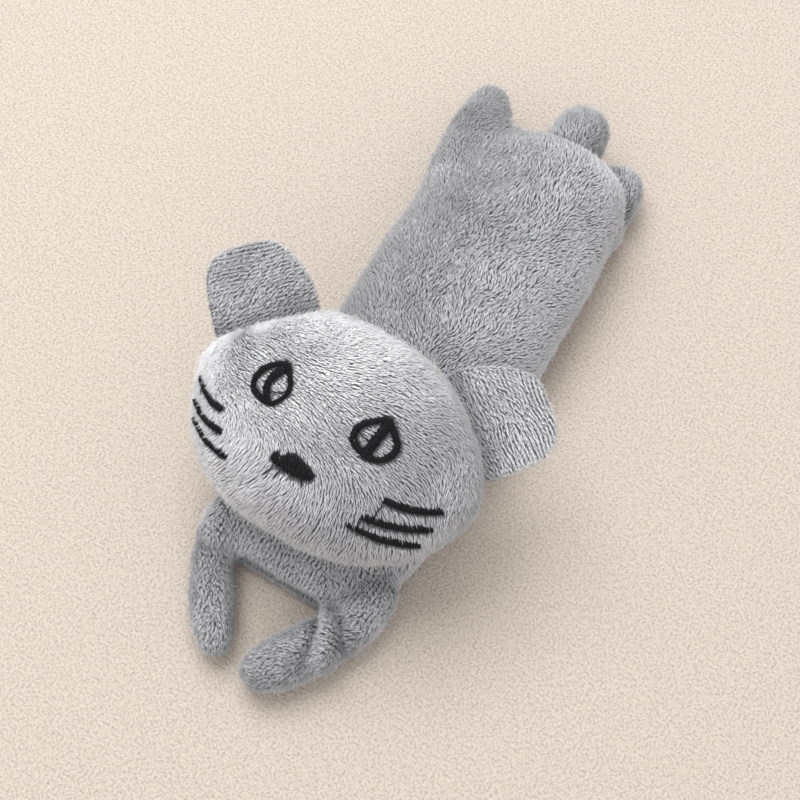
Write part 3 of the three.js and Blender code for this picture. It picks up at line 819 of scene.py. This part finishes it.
def facing_front(places):
    """How far the skin at each place belongs to the front of the chest, between the arms."""
    x, y, z = places.T
    share = smoothstep(y, *LIP_BACK_STEP) * (y > ARM_CUT) * smoothstep(z, *LIP_FOOT_STEP)
    for step in LIP_SIDE_STEPS:
        share = share * smoothstep(x, *step)
    return share


def lipped(obj):
    """Draws the front edge of the belly out under the seam of the chest."""
    verts = points_of(obj.data)
    share = facing_front(verts) * smoothstep(verts[:, 2], *LIP_EDGE_STEP)
    verts[:, 1] -= np.maximum(verts[:, 1] - LIP_FRONT, 0) * share
    set_points(obj.data, verts)


def line_distance(points, line):
    """The distance in the floor plane to a bent line, and the share of the way along it."""
    best, along = np.full(len(points), np.inf), np.zeros(len(points))
    for step, (start, end) in enumerate(zip(line, line[1:])):
        way = end - start
        share = np.clip(((points - start) @ way) / (way @ way), 0, 1)
        gap = np.linalg.norm(points - start - share[:, None] * way, axis=1)
        near = gap < best
        best = np.where(near, gap, best)
        along = np.where(near, (step + share) / (len(line) - 1), along)
    return best, along


def fold_depth(verts, normals):
    """How deep the folds at the shoulders, the elbow and the left leg go in."""
    depth = np.zeros(len(verts))
    for line, deep, spread in FOLDS:
        gap, along = line_distance(verts[:, :2], np.array(line) * MM)
        taper = smoothstep(along, *FOLD_START_STEP) * smoothstep(along, *FOLD_END_STEP)
        facing = smoothstep(normals[:, 2], *FOLD_FACING_STEP)
        depth += deep * MM * groove(gap, spread * MM) * taper * facing
    return depth


def body_press(verts, normals):
    """The side seam of the body, the lumps of its filling, and its folds."""
    y, z = verts[:, 1], verts[:, 2]
    seam = side_seam(np.clip(y - BODY_MIDDLE[1] + BODY_LENGTH / 2, 0, BODY_LENGTH))
    on_side = smoothstep(np.abs(normals[:, 2]), *SEAM_FACING_STEP)
    on_body = smoothstep(y, ARM_CUT, ARM_CUT + SEAM_FADE) * smoothstep(y, LEG_CUT, LEG_CUT - SEAM_FADE)
    front = smoothstep(y, *FRONT_STEP)
    seam += (FRONT_SEAM - seam) * front
    deep = SEAM_DEPTH + (FRONT_DEPTH - SEAM_DEPTH) * front
    depth = deep * groove(z - seam, SEAM_SPREAD) * on_side * on_body
    depth += LUMP_DEPTH * noise_at(verts, "lumps") * smoothstep(z, *LUMP_STEP)
    return depth + fold_depth(verts, normals)


def head_press(verts, normals):
    """The seam round the head, and the lumps of its filling."""
    height = local(verts, head_frame)[:, 2]
    seam = SEAM_DEPTH * groove(height - HEAD_SEAM, SEAM_SPREAD)
    return seam + HEAD_LUMP_DEPTH * noise_at(verts, "lumps")


def row_place(points, across):
    """How far along the way from row to row each point is, where the rows wander a little."""
    return points @ across + ROW_WANDER * noise_at(points, "rows")


def ear_press(name):
    """The rows of an ear's pile."""

    def depth(verts, normals):
        wave = row_place(verts, ear_frames[name][:3, 1])
        return RIB_DEPTH * (0.5 + 0.5 * np.cos(2 * math.pi * wave / RIB_PITCH))

    return depth


def cross_plane(y, sign):
    """A plane across the toy, and the way along Y to what it keeps."""
    return (0, y, 0), (0, sign, 0)


def part_of(obj, name, planes):
    """A closed part of a skin: what is in front of each plane, given by a point and a direction."""
    shape = bmesh.new()
    shape.from_mesh(obj.data)
    for point, direction in planes:
        everything = shape.verts[:] + shape.edges[:] + shape.faces[:]
        bmesh.ops.bisect_plane(
            shape, geom=everything, plane_co=Vector(point), plane_no=Vector(direction), clear_inner=True
        )
        bmesh.ops.holes_fill(shape, edges=[edge for edge in shape.edges if edge.is_boundary])
    mesh = bpy.data.meshes.new(name)
    shape.to_mesh(mesh)
    shape.free()
    return link(name, mesh)


# Pile

def scatter(mesh, density):
    """Points spread evenly over a mesh, with their normals."""
    mesh.calc_loop_triangles()
    tris = np.empty(len(mesh.loop_triangles) * 3, np.int32)
    mesh.loop_triangles.foreach_get("vertices", tris)
    tris = tris.reshape(-1, 3)
    corners, normals = points_of(mesh)[tris], normals_of(mesh)[tris]
    edges = corners[:, 1:] - corners[:, :1]
    total = np.cumsum(np.linalg.norm(np.cross(edges[:, 0], edges[:, 1]), axis=1) / 2)
    count = int(total[-1] * density)
    spot = (np.arange(count) + rng.random(count)) / count * total[-1]
    pick = np.minimum(np.searchsorted(total, spot), len(tris) - 1)
    first, second = rng.random((2, count))
    root = np.sqrt(first)
    shares = np.stack((1 - root, root * (1 - second), root * second), -1)[:, :, None]
    return (corners[pick] * shares).sum(1), unit((normals[pick] * shares).sum(1))


def turned(vectors, axes, angles):
    """Vectors turned about axes that are square to them."""
    cos, sin = np.cos(angles)[:, None], np.sin(angles)[:, None]
    return vectors * cos + np.cross(axes, vectors) * sin


def combed(roots, normals, flow, coat, calm=0.0):
    """The way that each tuft lies: combed over the cloth, with ripples, and swirls where it isn't calm."""
    lie = unit(flow - normals * (flow * normals).sum(1, keepdims=True))
    angle = coat.swirl * (1 - calm) * noise_at(roots, "swirl")
    angle += coat.ripple * noise_at(roots, "ripple")
    return turned(lie, normals, angle)


def rowed(roots, normals, across, pitch, pull):
    """Draws tufts towards evenly spaced rows. Across is the way from row to row."""
    place = row_place(roots, across)
    shift = (np.round(place / pitch) * pitch - place) * pull
    step = across - normals * (normals @ across)[:, None]
    return roots + step * shift[:, None]


def clumped(roots, normals, lie, coat):
    """Draws tufts sideways into clumps. Returns the sideways pull, and each tuft's clump."""
    centres = np.arange(0, len(roots), coat.clump)
    tree = kdtree.KDTree(len(centres))
    for place, index in enumerate(centres):
        tree.insert(roots[index], place)
    tree.balance()
    near = np.array([[hit[1] for hit in tree.find_n(root, CLUMP_CHOICES)] for root in roots])
    gap = roots[centres][near] - roots[:, None]
    along = (gap * lie[:, None]).sum(2)
    over = (gap * normals[:, None]).sum(2)
    across = gap - along[:, :, None] * lie[:, None] - over[:, :, None] * normals[:, None]
    cost = coat.stretch**2 * (across**2).sum(2) + along**2
    best = cost.argmin(1)
    rows = np.arange(len(roots))
    return across[rows, best], near[rows, best]


def half_lean(half, lean, clump_lean, stand):
    """The angle from upright at which a half of each tuft leans."""
    bend, back = 1 - stand, -STAND_BACK * stand
    angle = bend * (lean + half.lean) + clump_lean + rng.normal(0, half.stray, len(lean))
    return np.clip(angle, half.least * bend + back, half.most)[:, None]


def tufts(roots, normals, lie, coat, shade=0.0, calm=0.0, stand=0.0):
    """Points of bent three-sided spindles, 5 to each tuft, with their normals and tones.

    Calm keeps tufts out of clumps, and stand sets them upright. Shade is painted shade taken off each tuft's
    tone, and painted light where it is below 0.
    """
    count = len(roots)
    pull, clump = clumped(roots, normals, lie, coat)
    clump_count = clump.max() + 1
    clump_lean = rng.normal(0, coat.mess, clump_count)[clump] + CLUMP_LEAN * noise_at(roots, "lean")
    clump_turn = rng.normal(0, CLUMP_TURN * coat.mess, clump_count)[clump]
    way = turned(lie, normals, clump_turn + rng.normal(0, coat.mess, count))
    stray = rng.random(count) < STRAY_SHARE
    size = (coat.length * rng.uniform(*TUFT_LENGTHS, count) * np.where(stray, STRAY_GROWTH, 1.0))[:, None]
    lean = coat.lean - STRAY_LIFT * stray
    low = half_lean(LOWER, lean, clump_lean, stand)
    high = half_lean(UPPER, lean, clump_lean, stand)
    pull *= (coat.pull * (1 - calm) * np.where(stray, STRAY_PULL, 1.0))[:, None]
    foot = roots - TUFT_ROOT * normals + FOOT_PULL * pull
    middle = roots + pull + LOWER.share * size * (normals * np.cos(low) + way * np.sin(low))
    tip = middle + TIP_PULL * pull + UPPER.share * size * (normals * np.cos(high) + way * np.sin(high))
    side = unit(np.cross(way, normals))
    lift = unit(np.cross(side, middle - foot))
    radius = TUFT_RADIUS * rng.uniform(*TUFT_GIRTHS, count)[:, None]
    rings, facing = [foot], [normals]
    for corner in range(TUFT_SIDES):
        angle = 2 * math.pi * corner / TUFT_SIDES + math.pi / 2
        out = side * math.cos(angle) + lift * math.sin(angle)
        rings.append(middle + radius * out)
        facing.append(unit(FACING_UP * normals + FACING_OUT * out))
    rings.append(tip)
    facing.append(unit(normals + FACING_TIP * way))
    rings = np.stack(rings, 1)
    rings[:, :, 2] = np.maximum(rings[:, :, 2], 0)
    tone = MID_TONE + PATCH_TONE * noise_at(roots, "patch") + FLECK_TONE * noise_at(roots, "fleck")
    tone += rng.normal(0, coat.fleck, clump_count)[clump] + rng.normal(0, TUFT_TONE, count)
    return SimpleNamespace(rings=rings, facing=np.stack(facing, 1), tone=np.clip(tone - shade, 0, 1))


def chosen(made, mask):
    """Some of the tufts."""
    return SimpleNamespace(rings=made.rings[mask], facing=made.facing[mask], tone=made.tone[mask])


TUFT_TRIANGLES = []
for corner in range(TUFT_SIDES):
    after = (corner + 1) % TUFT_SIDES
    TUFT_TRIANGLES += [(1 + corner, 1 + after, 0), (1 + after, 1 + corner, 1 + TUFT_SIDES)]
TUFT_TRIANGLES = np.array(TUFT_TRIANGLES)
TUFT_ALONG = np.array((0, *np.full(TUFT_SIDES, 0.5), 1.0))
TUFT_ACROSS = np.array((0, *np.linspace(-UV_SPREAD, UV_SPREAD, TUFT_SIDES), 0))
TUFT_POINTS = len(TUFT_ALONG)


def pile_pieces(name, made, material):
    """Objects that hold the tufts, each of a size that can be written out whole."""
    pieces = []
    for start in range(0, len(made.rings), TUFTS_PER_PIECE):
        part = slice(start, start + TUFTS_PER_PIECE)
        count = len(made.rings[part])
        tris = (np.arange(count)[:, None, None] * TUFT_POINTS + TUFT_TRIANGLES).reshape(-1, 3)
        mesh = triangle_mesh(f"{name}_{len(pieces) + 1}", made.rings[part].reshape(-1, 3), tris)
        along = np.tile(TUFT_ALONG, count)
        shade = np.repeat(made.tone[part], TUFT_POINTS)
        for label, values in (("along", along), ("tone", shade)):
            layer = mesh.attributes.new(label, "FLOAT", "POINT")
            layer.data.foreach_set("value", values.astype(np.float32))
        across = np.clip(UV_MARGIN + UV_SPAN * shade + np.tile(TUFT_ACROSS, count), 0, 1)
        places = np.stack((across, UV_MARGIN + UV_SPAN * along), -1)[tris.ravel()]
        mesh.uv_layers.new(name="OFBake").data.foreach_set("uv", places.astype(np.float32).ravel())
        mesh.polygons.foreach_set("use_smooth", np.ones(len(tris), bool))
        mesh.normals_split_custom_set_from_vertices(made.facing[part].reshape(-1, 3))
        mesh.materials.append(material)
        pieces.append(link(mesh.name, mesh))
    return pieces


# Materials

def new_material(name):
    """A node material, with its tree and its shader."""
    material = bpy.data.materials.new(name)
    material.use_nodes = True
    tree = material.node_tree
    return material, tree, tree.nodes["Principled BSDF"]


def attribute(tree, name):
    """The value of a named attribute."""
    node = tree.nodes.new("ShaderNodeAttribute")
    node.attribute_name = name
    return node.outputs["Fac"]


def ramp(tree, fac, stops):
    """A colour ramp that a value runs through."""
    node = tree.nodes.new("ShaderNodeValToRGB")
    elements = node.color_ramp.elements
    while len(elements) < len(stops):
        elements.new(0.5)
    for element, (place, colour) in zip(elements, stops):
        element.position = place
        element.color = (*colour, 1)
    tree.links.new(fac, node.inputs["Fac"])
    return node.outputs["Color"]


def multiplied(tree, colour, value):
    """A colour times a value."""
    mix = tree.nodes.new("ShaderNodeMix")
    mix.data_type = "RGBA"
    mix.blend_type = "MULTIPLY"
    mix.inputs["Factor"].default_value = 1
    tree.links.new(colour, mix.inputs["A"])
    tree.links.new(value, mix.inputs["B"])
    return mix.outputs["Result"]


def ranged(tree, value, low, high):
    """A value from 0 to 1 moved to another range."""
    node = tree.nodes.new("ShaderNodeMapRange")
    node.inputs["To Min"].default_value = low
    node.inputs["To Max"].default_value = high
    tree.links.new(value, node.inputs["Value"])
    return node.outputs["Result"]


def pile_material(name, colours):
    """Pile that is darker at its roots, partly painted shade deep in the pile, and lighter at its tips; its
    tone, which holds painted shade and light, dims and lifts it.
    """
    material, tree, shader = new_material(name)
    colour = ramp(tree, attribute(tree, "along"), tuple(zip(PILE_PLACES, colours)))
    colour = multiplied(tree, colour, ranged(tree, attribute(tree, "tone"), *PILE_TONES))
    tree.links.new(colour, shader.inputs["Base Color"])
    for socket, value in PILE_FINISH.items():
        shader.inputs[socket].default_value = value
    return material


def grained_material(name, scale, dark, light, relief, roughness, edges=GRAIN_EDGES):
    """A surface with a fine grain in its colour and its relief."""
    material, tree, shader = new_material(name)
    place = tree.nodes.new("ShaderNodeTexCoord").outputs["Object"]
    grain = tree.nodes.new("ShaderNodeTexNoise")
    grain.inputs["Scale"].default_value = scale
    grain.inputs["Detail"].default_value = GRAIN_DETAIL
    tree.links.new(place, grain.inputs["Vector"])
    colour = ramp(tree, grain.outputs["Fac"], tuple(zip(edges, (dark, light))))
    tree.links.new(colour, shader.inputs["Base Color"])
    bump = tree.nodes.new("ShaderNodeBump")
    bump.inputs["Distance"].default_value = relief
    tree.links.new(grain.outputs["Fac"], bump.inputs["Height"])
    tree.links.new(bump.outputs["Normal"], shader.inputs["Normal"])
    shader.inputs["Roughness"].default_value = roughness
    return material


materials = {name: grained_material(name, *facts) for name, facts in GRAINED.items()}
for name in ("black_thread", "grey_thread"):
    shader = materials[name].node_tree.nodes["Principled BSDF"]
    shader.inputs["Specular IOR Level"].default_value = THREAD_SPECULAR
for name, colours in PILES.items():
    materials[name] = pile_material(name, colours)


# Skins

whole_parts = [body_part(), limb_part(HAUNCH)] + [limb_part(LIMBS[name]) for name in PAIRED_LIMBS]
whole = filled(rump_rounded(remeshed("whole_skin", whole_parts, SKIN_VOXEL)), SKIN_FLOOR)
pressed(whole, body_press)
lipped(whole)
tail = filled(remeshed("tail_skin", [limb_part(LIMBS["tail"])], HEAD_VOXEL))
head = filled(remeshed("head_skin", [head_part()], HEAD_VOXEL))
pressed(head, head_press)
ears = {name: add_object(f"{name}_ear_skin", *ear_part(name, side)) for name, side in SIDES}
for name, ear in ears.items():
    pressed(ear, ear_press(name))

split_x = BODY_MIDDLE[0] + CHEST_SHIFT
skins = {"torso": part_of(whole, "torso_skin", [cross_plane(ARM_CUT, 1), cross_plane(LEG_CUT, -1)])}
for name, side in SIDES:
    half_plane = ((split_x, 0, 0), (side, 0, 0))
    skins[f"{name}_arm"] = part_of(whole, f"{name}_arm_skin", [cross_plane(ARM_CUT, -1), half_plane])
    skins[f"{name}_leg"] = part_of(whole, f"{name}_leg_skin", [cross_plane(LEG_CUT, 1), half_plane])
skins["tail"] = tail


def carry(piece, body):
    """Attaches a piece of the torso or the head to its body, and bakes in the transform of a piece of a limb,
    the tail or an ear.
    """
    kind = body.split("_")[-1]
    if kind in BENDS:
        start, end = BENDS[kind]
        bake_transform(piece)
    elif kind == "ear":
        ear_frame = ear_frames[body.split("_")[0]]
        start = ear_frame[:3, 3]
        end = start + ear_frame[:3, 1] * EAR_BEND
        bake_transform(piece)
    else:
        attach(piece, body)


def cover(body, skin, ground, nodes):
    """Makes a padded skin stand for the nodes of a body."""
    skin.data.materials.append(materials[ground])
    smooth(skin)
    carry(skin, body)
    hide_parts(*nodes)


for body, skin in skins.items():
    nodes = TORSO_NODES if body == "torso" else (f"{body}_sleeve", f"{body}_stuffing")
    cover(body, skin, "plush_ground", nodes)
cover("head", head, "head_ground", HEAD_NODES)
for name, ear in ears.items():
    plies = (f"{name}_ear_front", f"{name}_ear_back")
    cover(f"{name}_ear", ear, "ear_ground", plies)


# Embroidery

head_tree = BVHTree.FromPolygons(
    points_of(head.data).tolist(), [tuple(face.vertices) for face in head.data.polygons]
)
face_axis = Vector(head_frame[:3, 2])
covered = []


def on_face(places, lifts):
    """Points set on the head's skin at places of the face plane, each lifted over it."""
    starts = moved(np.column_stack((places, np.full(len(places), OVER_FACE))), head_frame)
    result = []
    for start, lift in zip(starts, lifts):
        hit, normal, _, _ = head_tree.ray_cast(Vector(start), -face_axis)
        result.append(hit + normal * lift)
    return np.array(result)


def tube(path, radius, sides=THREAD_SIDES):
    """A closed tube along a path, whose faces look in."""
    way = unit(np.gradient(path, axis=0))
    across = unit(np.cross(way, np.array(face_axis)))
    lift = np.cross(across, way)
    angles = np.linspace(0, 2 * math.pi, sides, endpoint=False)
    rings = [path + radius * (across * math.cos(angle) + lift * math.sin(angle)) for angle in angles]
    verts = np.stack(rings, 1).reshape(-1, 3)
    faces = ring_faces(len(path), sides)
    faces.append(tuple(reversed(range(sides))))
    faces.append(tuple(range((len(path) - 1) * sides, len(path) * sides)))
    return verts, faces


def stitches(rows):
    """A thread from end to end of each row, arched over the pile."""
    share = np.linspace(0, 1, STITCH_POINTS)
    lifts = STITCH_LOW + STITCH_ARCH * np.sin(math.pi * share)
    made = []
    for start, end in rows:
        start, end = start + rng.normal(0, STITCH_STRAY, 2), end + rng.normal(0, STITCH_STRAY, 2)
        places = start + (end - start) * share[:, None]
        covered.append(places)
        made.append(tube(on_face(places, lifts + rng.normal(0, STITCH_LIFT_STRAY)), THREAD_RADIUS))
    return made


def underlay(rows):
    """Threads along a run of rows, which fill out what lies under its stitches."""
    starts, ends = np.array(rows).transpose(1, 0, 2)
    made = []
    for share in UNDERLAY_SHARES:
        places = starts + (ends - starts) * share
        made.append(tube(on_face(places, np.full(len(places), STITCH_LOW)), UNDERLAY_RADIUS))
    return made


def loose_thread(points):
    """A thin thread that runs free over the pile through some points."""
    points = np.array(points) * MM
    steps = np.linspace(0, len(points) - 1, LOOSE_POINTS)
    places = np.stack([np.interp(steps, range(len(points)), points[:, axis]) for axis in range(2)], -1)
    places[1:-1] += rng.normal(0, LOOSE_STRAY, (LOOSE_POINTS - 2, 2))
    covered.append(places)
    return tube(on_face(places, np.full(LOOSE_POINTS, STITCH_LOW + STITCH_ARCH)), LOOSE_RADIUS)


def sewn(name, node, rows):
    """A piece of satin stitch that stands for an embroidered node."""
    parts = stitches(rows) + underlay(rows)
    parts += [loose_thread(points) for points in LOOSE_THREADS.get(name, ())]
    piece = add_object(name, *join(parts))
    piece.data.materials.append(materials["black_thread"])
    smooth(piece)
    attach(piece, "head")
    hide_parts(node)


def resampled(controls):
    """Values at even steps along a line of controls, of which the first two are a place."""
    steps = np.linalg.norm(np.diff(controls[:, :2], axis=0), axis=1)
    reach = np.concatenate(([0], np.cumsum(steps)))
    places = np.linspace(0, reach[-1], int(reach[-1] / STITCH_STEP) + 1)
    return np.stack([np.interp(places, reach, column) for column in controls.T], -1)


def band_rows(controls):
    """Rows across a band, from places along its middle and its width at each."""
    line = resampled(np.array(controls) * MM)
    way = unit(np.gradient(line[:, :2], axis=0))
    half = np.stack((-way[:, 1], way[:, 0]), -1) * line[:, 2:] / 2
    return np.stack((line[:, :2] - half, line[:, :2] + half), 1)


def whisker_band(start, end, first_width, last_width):
    """A whisker's band, which sags a little and narrows at its ends."""
    start, end = np.array(start), np.array(end)
    way = (end - start) / np.linalg.norm(end - start)
    square = np.array((-way[1], way[0])) * np.sign(way[0])
    share = np.linspace(0, 1, WHISKER_POINTS)
    sag = np.outer(WHISKER_SAG * np.sin(math.pi * share), square)
    middle = start + (end - start) * share[:, None] - sag
    width = first_width + (last_width - first_width) * np.minimum(1, WHISKER_WIDEN * share)
    ends = np.minimum(1, WHISKER_END + WHISKER_END_RISE * np.minimum(share, 1 - share))
    return np.column_stack((middle, width * ends))


for name, side in SIDES:
    sewn(f"{name}_eye_ring", f"{name}_eye_outline", band_rows(EYE_RINGS[name]))
    sewn(f"{name}_eye_slit", f"{name}_eye_pupil", band_rows(EYE_SLITS[name]))
    for number, whisker in enumerate(WHISKERS[name], 1):
        node = f"{name}_whisker_{number}"
        sewn(f"{node}_stitches", node, band_rows(whisker_band(*whisker)))
sewn("nose_stitches", "nose", resampled(np.array(NOSE) * MM).reshape(-1, 2, 2))

stitched = np.concatenate(covered)
stitch_tree = kdtree.KDTree(len(stitched))
for index, place in enumerate(stitched):
    stitch_tree.insert((*place, 0), index)
stitch_tree.balance()


def clear_of_stitches(roots):
    """Which tufts stand clear of the embroidery, or come up through it here and there."""
    spots = local(roots, head_frame)
    gaps = np.array([stitch_tree.find((x, y, 0))[2] for x, y, z in spots])
    return (gaps > STITCH_CLEAR) | (spots[:, 2] < HEAD_SEAM) | (rng.random(len(roots)) < SPECK_SHARE)


# Pile pieces

def lay_pile(body, made, material):
    """Sets tufts in the scene as the pile of a body."""
    for piece in pile_pieces(f"{body}_pile", made, materials[material]):
        carry(piece, body)


def body_of(roots):
    """The name of the body that each tuft on the whole skin belongs to."""
    side = np.where(roots[:, 0] < split_x, "right_", "left_")
    kind = np.where(roots[:, 1] < ARM_CUT, "arm", np.where(roots[:, 1] > LEG_CUT, "leg", ""))
    return np.where(kind == "", "torso", np.char.add(side, kind))


def body_flow(roots, owner):
    """The way that the body's pile runs: from a parting to its ends, and down each limb."""
    flow = np.zeros_like(roots)
    flow[:, 0] = BODY_DRIFT
    flow[:, 1] = np.where(roots[:, 1] < PARTING, -1.0, 1.0)
    for name in PAIRED_LIMBS:
        root, tip = (np.array(end) for end in LIMBS[name][:2])
        flow[owner == name] = unit(tip - root)
    return flow


def body_shade(roots, normals, on_chest):
    """Painted shade and painted light on the body's pile: shade in folds, by the front seam, on the rear and
    at the left leg, light on the chest, the lip and the right haunch, and a fall from side to side.
    """
    x, y, z = roots.T
    shade = FOLD_SHADE / MM * fold_depth(roots, normals)
    shade -= BODY_SHADE * (x - BODY_MIDDLE[0]) / BODY_WIDTH * (1 - CHEST_EVEN * on_chest)
    shade += REAR_SHADE * smoothstep(y, *REAR_STEP)
    shade -= CHEST_LIFT * on_chest * (1 - ARM_SHADE * smoothstep(y, *ARM_STEP))
    under_seam = smoothstep(FRONT_SEAM - z, FRONT_SPREAD, 2 * FRONT_SPREAD)
    seam_shade = SEAM_SHADE * groove(z - FRONT_SEAM, FRONT_SPREAD) - LIP_LIFT * under_seam
    shade += seam_shade * facing_front(roots)
    by_leg = smoothstep(y, *LEG_LENGTH_STEP) * smoothstep(x, *LEG_WIDTH_STEP)
    shade += LEG_SHADE * by_leg * smoothstep(z, *LEG_HEIGHT_STEP)
    shade -= HAUNCH_HIGHLIGHT_LIFT * groove(np.linalg.norm(roots[:, :2] - HAUNCH_HIGHLIGHT, axis=1), HAUNCH_HIGHLIGHT_REACH)
    return shade


def dress_body():
    """The pile of the body, the arms and the legs, which stands upright at its parting."""
    coat = COATS["body"]
    roots, normals = scatter(whole.data, coat.density)
    owner = body_of(roots)
    flow = body_flow(roots, owner)
    stand = 1 - smoothstep(np.abs(roots[:, 1] - PARTING), 0, PARTING_REACH)
    on_chest = smoothstep(roots[:, 1], *CHEST_STEP)
    pull = CHEST_ROW_PULL * on_chest * (owner == "torso")
    roots = rowed(roots, normals, CHEST_ROWS, CHEST_ROW_PITCH, pull)
    at_elbow = groove(np.linalg.norm(roots - ELBOW, axis=1), ELBOW_REACH)
    roots = rowed(roots, normals, ELBOW_ROWS, ELBOW_ROW_PITCH, ELBOW_ROW_PULL * at_elbow)
    flow += (ELBOW_LIE - flow) * at_elbow[:, None]
    lie = combed(roots, normals, flow, coat, CHEST_COMB * on_chest)
    shade = body_shade(roots, normals, on_chest)
    made = tufts(roots, normals, lie, coat, shade, CHEST_CALM * on_chest, stand - CHEST_LEAN * on_chest)
    for body in ("torso", *PAIRED_LIMBS):
        lay_pile(body, chosen(made, owner == body), "body_pile")


def dress_tail():
    """The long pile of the tail, darkened with painted shade."""
    coat = COATS["tail"]
    roots, normals = scatter(tail.data, coat.density)
    lie = combed(roots, normals, normals + TAIL_LIE, coat)
    made = tufts(roots, normals, lie, coat, TAIL_SHADE)
    lay_pile("tail", chosen(made, roots[:, 1] > TAIL_CUT - TAIL_OVERLAP), "body_pile")


def dress_head():
    """The head's pile, which runs across the brow, fans out over the lower face and falls at the cheeks."""
    coat = COATS["head"]
    roots, normals = scatter(head.data, coat.density)
    spots = local(roots, head_frame)
    x, y = spots[:, 0], spots[:, 1]
    low_face = smoothstep(y, *LOW_FACE_STEP)
    on_cheek = smoothstep(np.abs(x), *CHEEK_STEP)
    spread = (1 - on_cheek) * (1 - FACE_TURN * low_face) + x / FACE_FAN * low_face
    flow = np.stack((spread, -np.maximum(FACE_FALL * low_face, on_cheek), -FACE_SINK * low_face), -1)
    lie = combed(roots, normals, flow @ head_frame[:3, :3].T, coat)
    # Painted light over the head, painted shade towards its lower right, at its sides and in patches
    shade = HEAD_SHADE * smoothstep(x - HEAD_SHADE_SLANT * y, *HEAD_SHADE_STEP) - HEAD_LIFT
    shade += HEAD_SIDE_SHADE * smoothstep(normals @ head_frame[:3, 2], *HEAD_SIDE_STEP)
    for middle, radius, amount in PAINTED_SHADE_PATCHES:
        gap = np.linalg.norm(spots[:, :2] - np.array(middle) * MM, axis=1)
        shade += amount * groove(gap, radius * MM)
    made = tufts(roots, normals, lie, coat, shade)
    lay_pile("head", chosen(made, clear_of_stitches(roots)), "head_pile")


def dress_ear(name):
    """An ear's pile, in rows, darker with painted shade where it leaves the head, and lifted with painted
    light.
    """
    coat = COATS["ear"]
    ear_frame = ear_frames[name]
    roots, normals = scatter(ears[name].data, coat.density)
    roots = rowed(roots, normals, ear_frame[:3, 1], RIB_PITCH, RIB_PULL[name])
    flow = np.tile(ear_frame[:3, 0] + EAR_DRIFT * ear_frame[:3, 1], (len(roots), 1))
    outward = local(roots, ear_frame)[:, 1]
    past_head = np.maximum(outward - EAR_CHORD[name], 0)
    shade = EAR_SHADE * np.exp(-past_head / EAR_SHADE_REACH) - EAR_LIFT[name]
    made = tufts(roots, normals, combed(roots, normals, flow, coat), coat, shade)
    lay_pile(f"{name}_ear", chosen(made, outward > EAR_HIDDEN), "ear_pile")


dress_body()
dress_tail()
dress_head()
for name in ears:
    dress_ear(name)
bpy.data.objects.remove(whole)

for node, material in NODE_MATERIALS.items():
    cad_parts[node].data.materials.clear()
    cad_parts[node].data.materials.append(materials[material])


# Floor, light and camera

def aimed(obj, place, way):
    """Sets a lamp or a camera at a place and turns it to look along a way."""
    obj.location = place
    obj.rotation_mode = "QUATERNION"
    obj.rotation_quaternion = way.to_track_quat("-Z", "Y")
    return obj


def stage():
    """A pale floor, a soft key light, a fill and the camera."""
    corners = [(x * FLOOR_HALF, y * FLOOR_HALF, 0.0) for x, y in ((-1, -1), (1, -1), (1, 1), (-1, 1))]
    floor = add_object("floor", corners, [(0, 1, 2, 3)])
    floor.data.materials.append(materials["pale_floor"])
    scene = bpy.context.scene
    scene.world = bpy.data.worlds.new("studio")
    scene.world.use_nodes = True
    background = scene.world.node_tree.nodes["Background"]
    background.inputs["Color"].default_value = WORLD_COLOUR
    background.inputs["Strength"].default_value = WORLD_STRENGTH
    target = Vector(CAMERA_TARGET)
    for name, (place, size, power) in LAMPS.items():
        lamp = bpy.data.lights.new(name, "AREA")
        lamp.size = size
        lamp.energy = power
        aimed(link(name, lamp), place, target - Vector(place))
    azimuth, elevation = math.radians(CAMERA_AZIMUTH), math.radians(CAMERA_ELEVATION)
    back = Vector((
        math.sin(azimuth) * math.cos(elevation),
        -math.cos(azimuth) * math.cos(elevation),
        math.sin(elevation),
    ))
    lens = bpy.data.cameras.new("camera")
    lens.sensor_width = CAMERA_SENSOR
    lens.lens = lens.sensor_width / 2 / math.tan(math.radians(CAMERA_FIELD / 2))
    lens.clip_start = CAMERA_CLIP
    scene.camera = aimed(link("camera", lens), target + back * CAMERA_DISTANCE, -back)
    scene.view_settings.view_transform = "Standard"


stage()
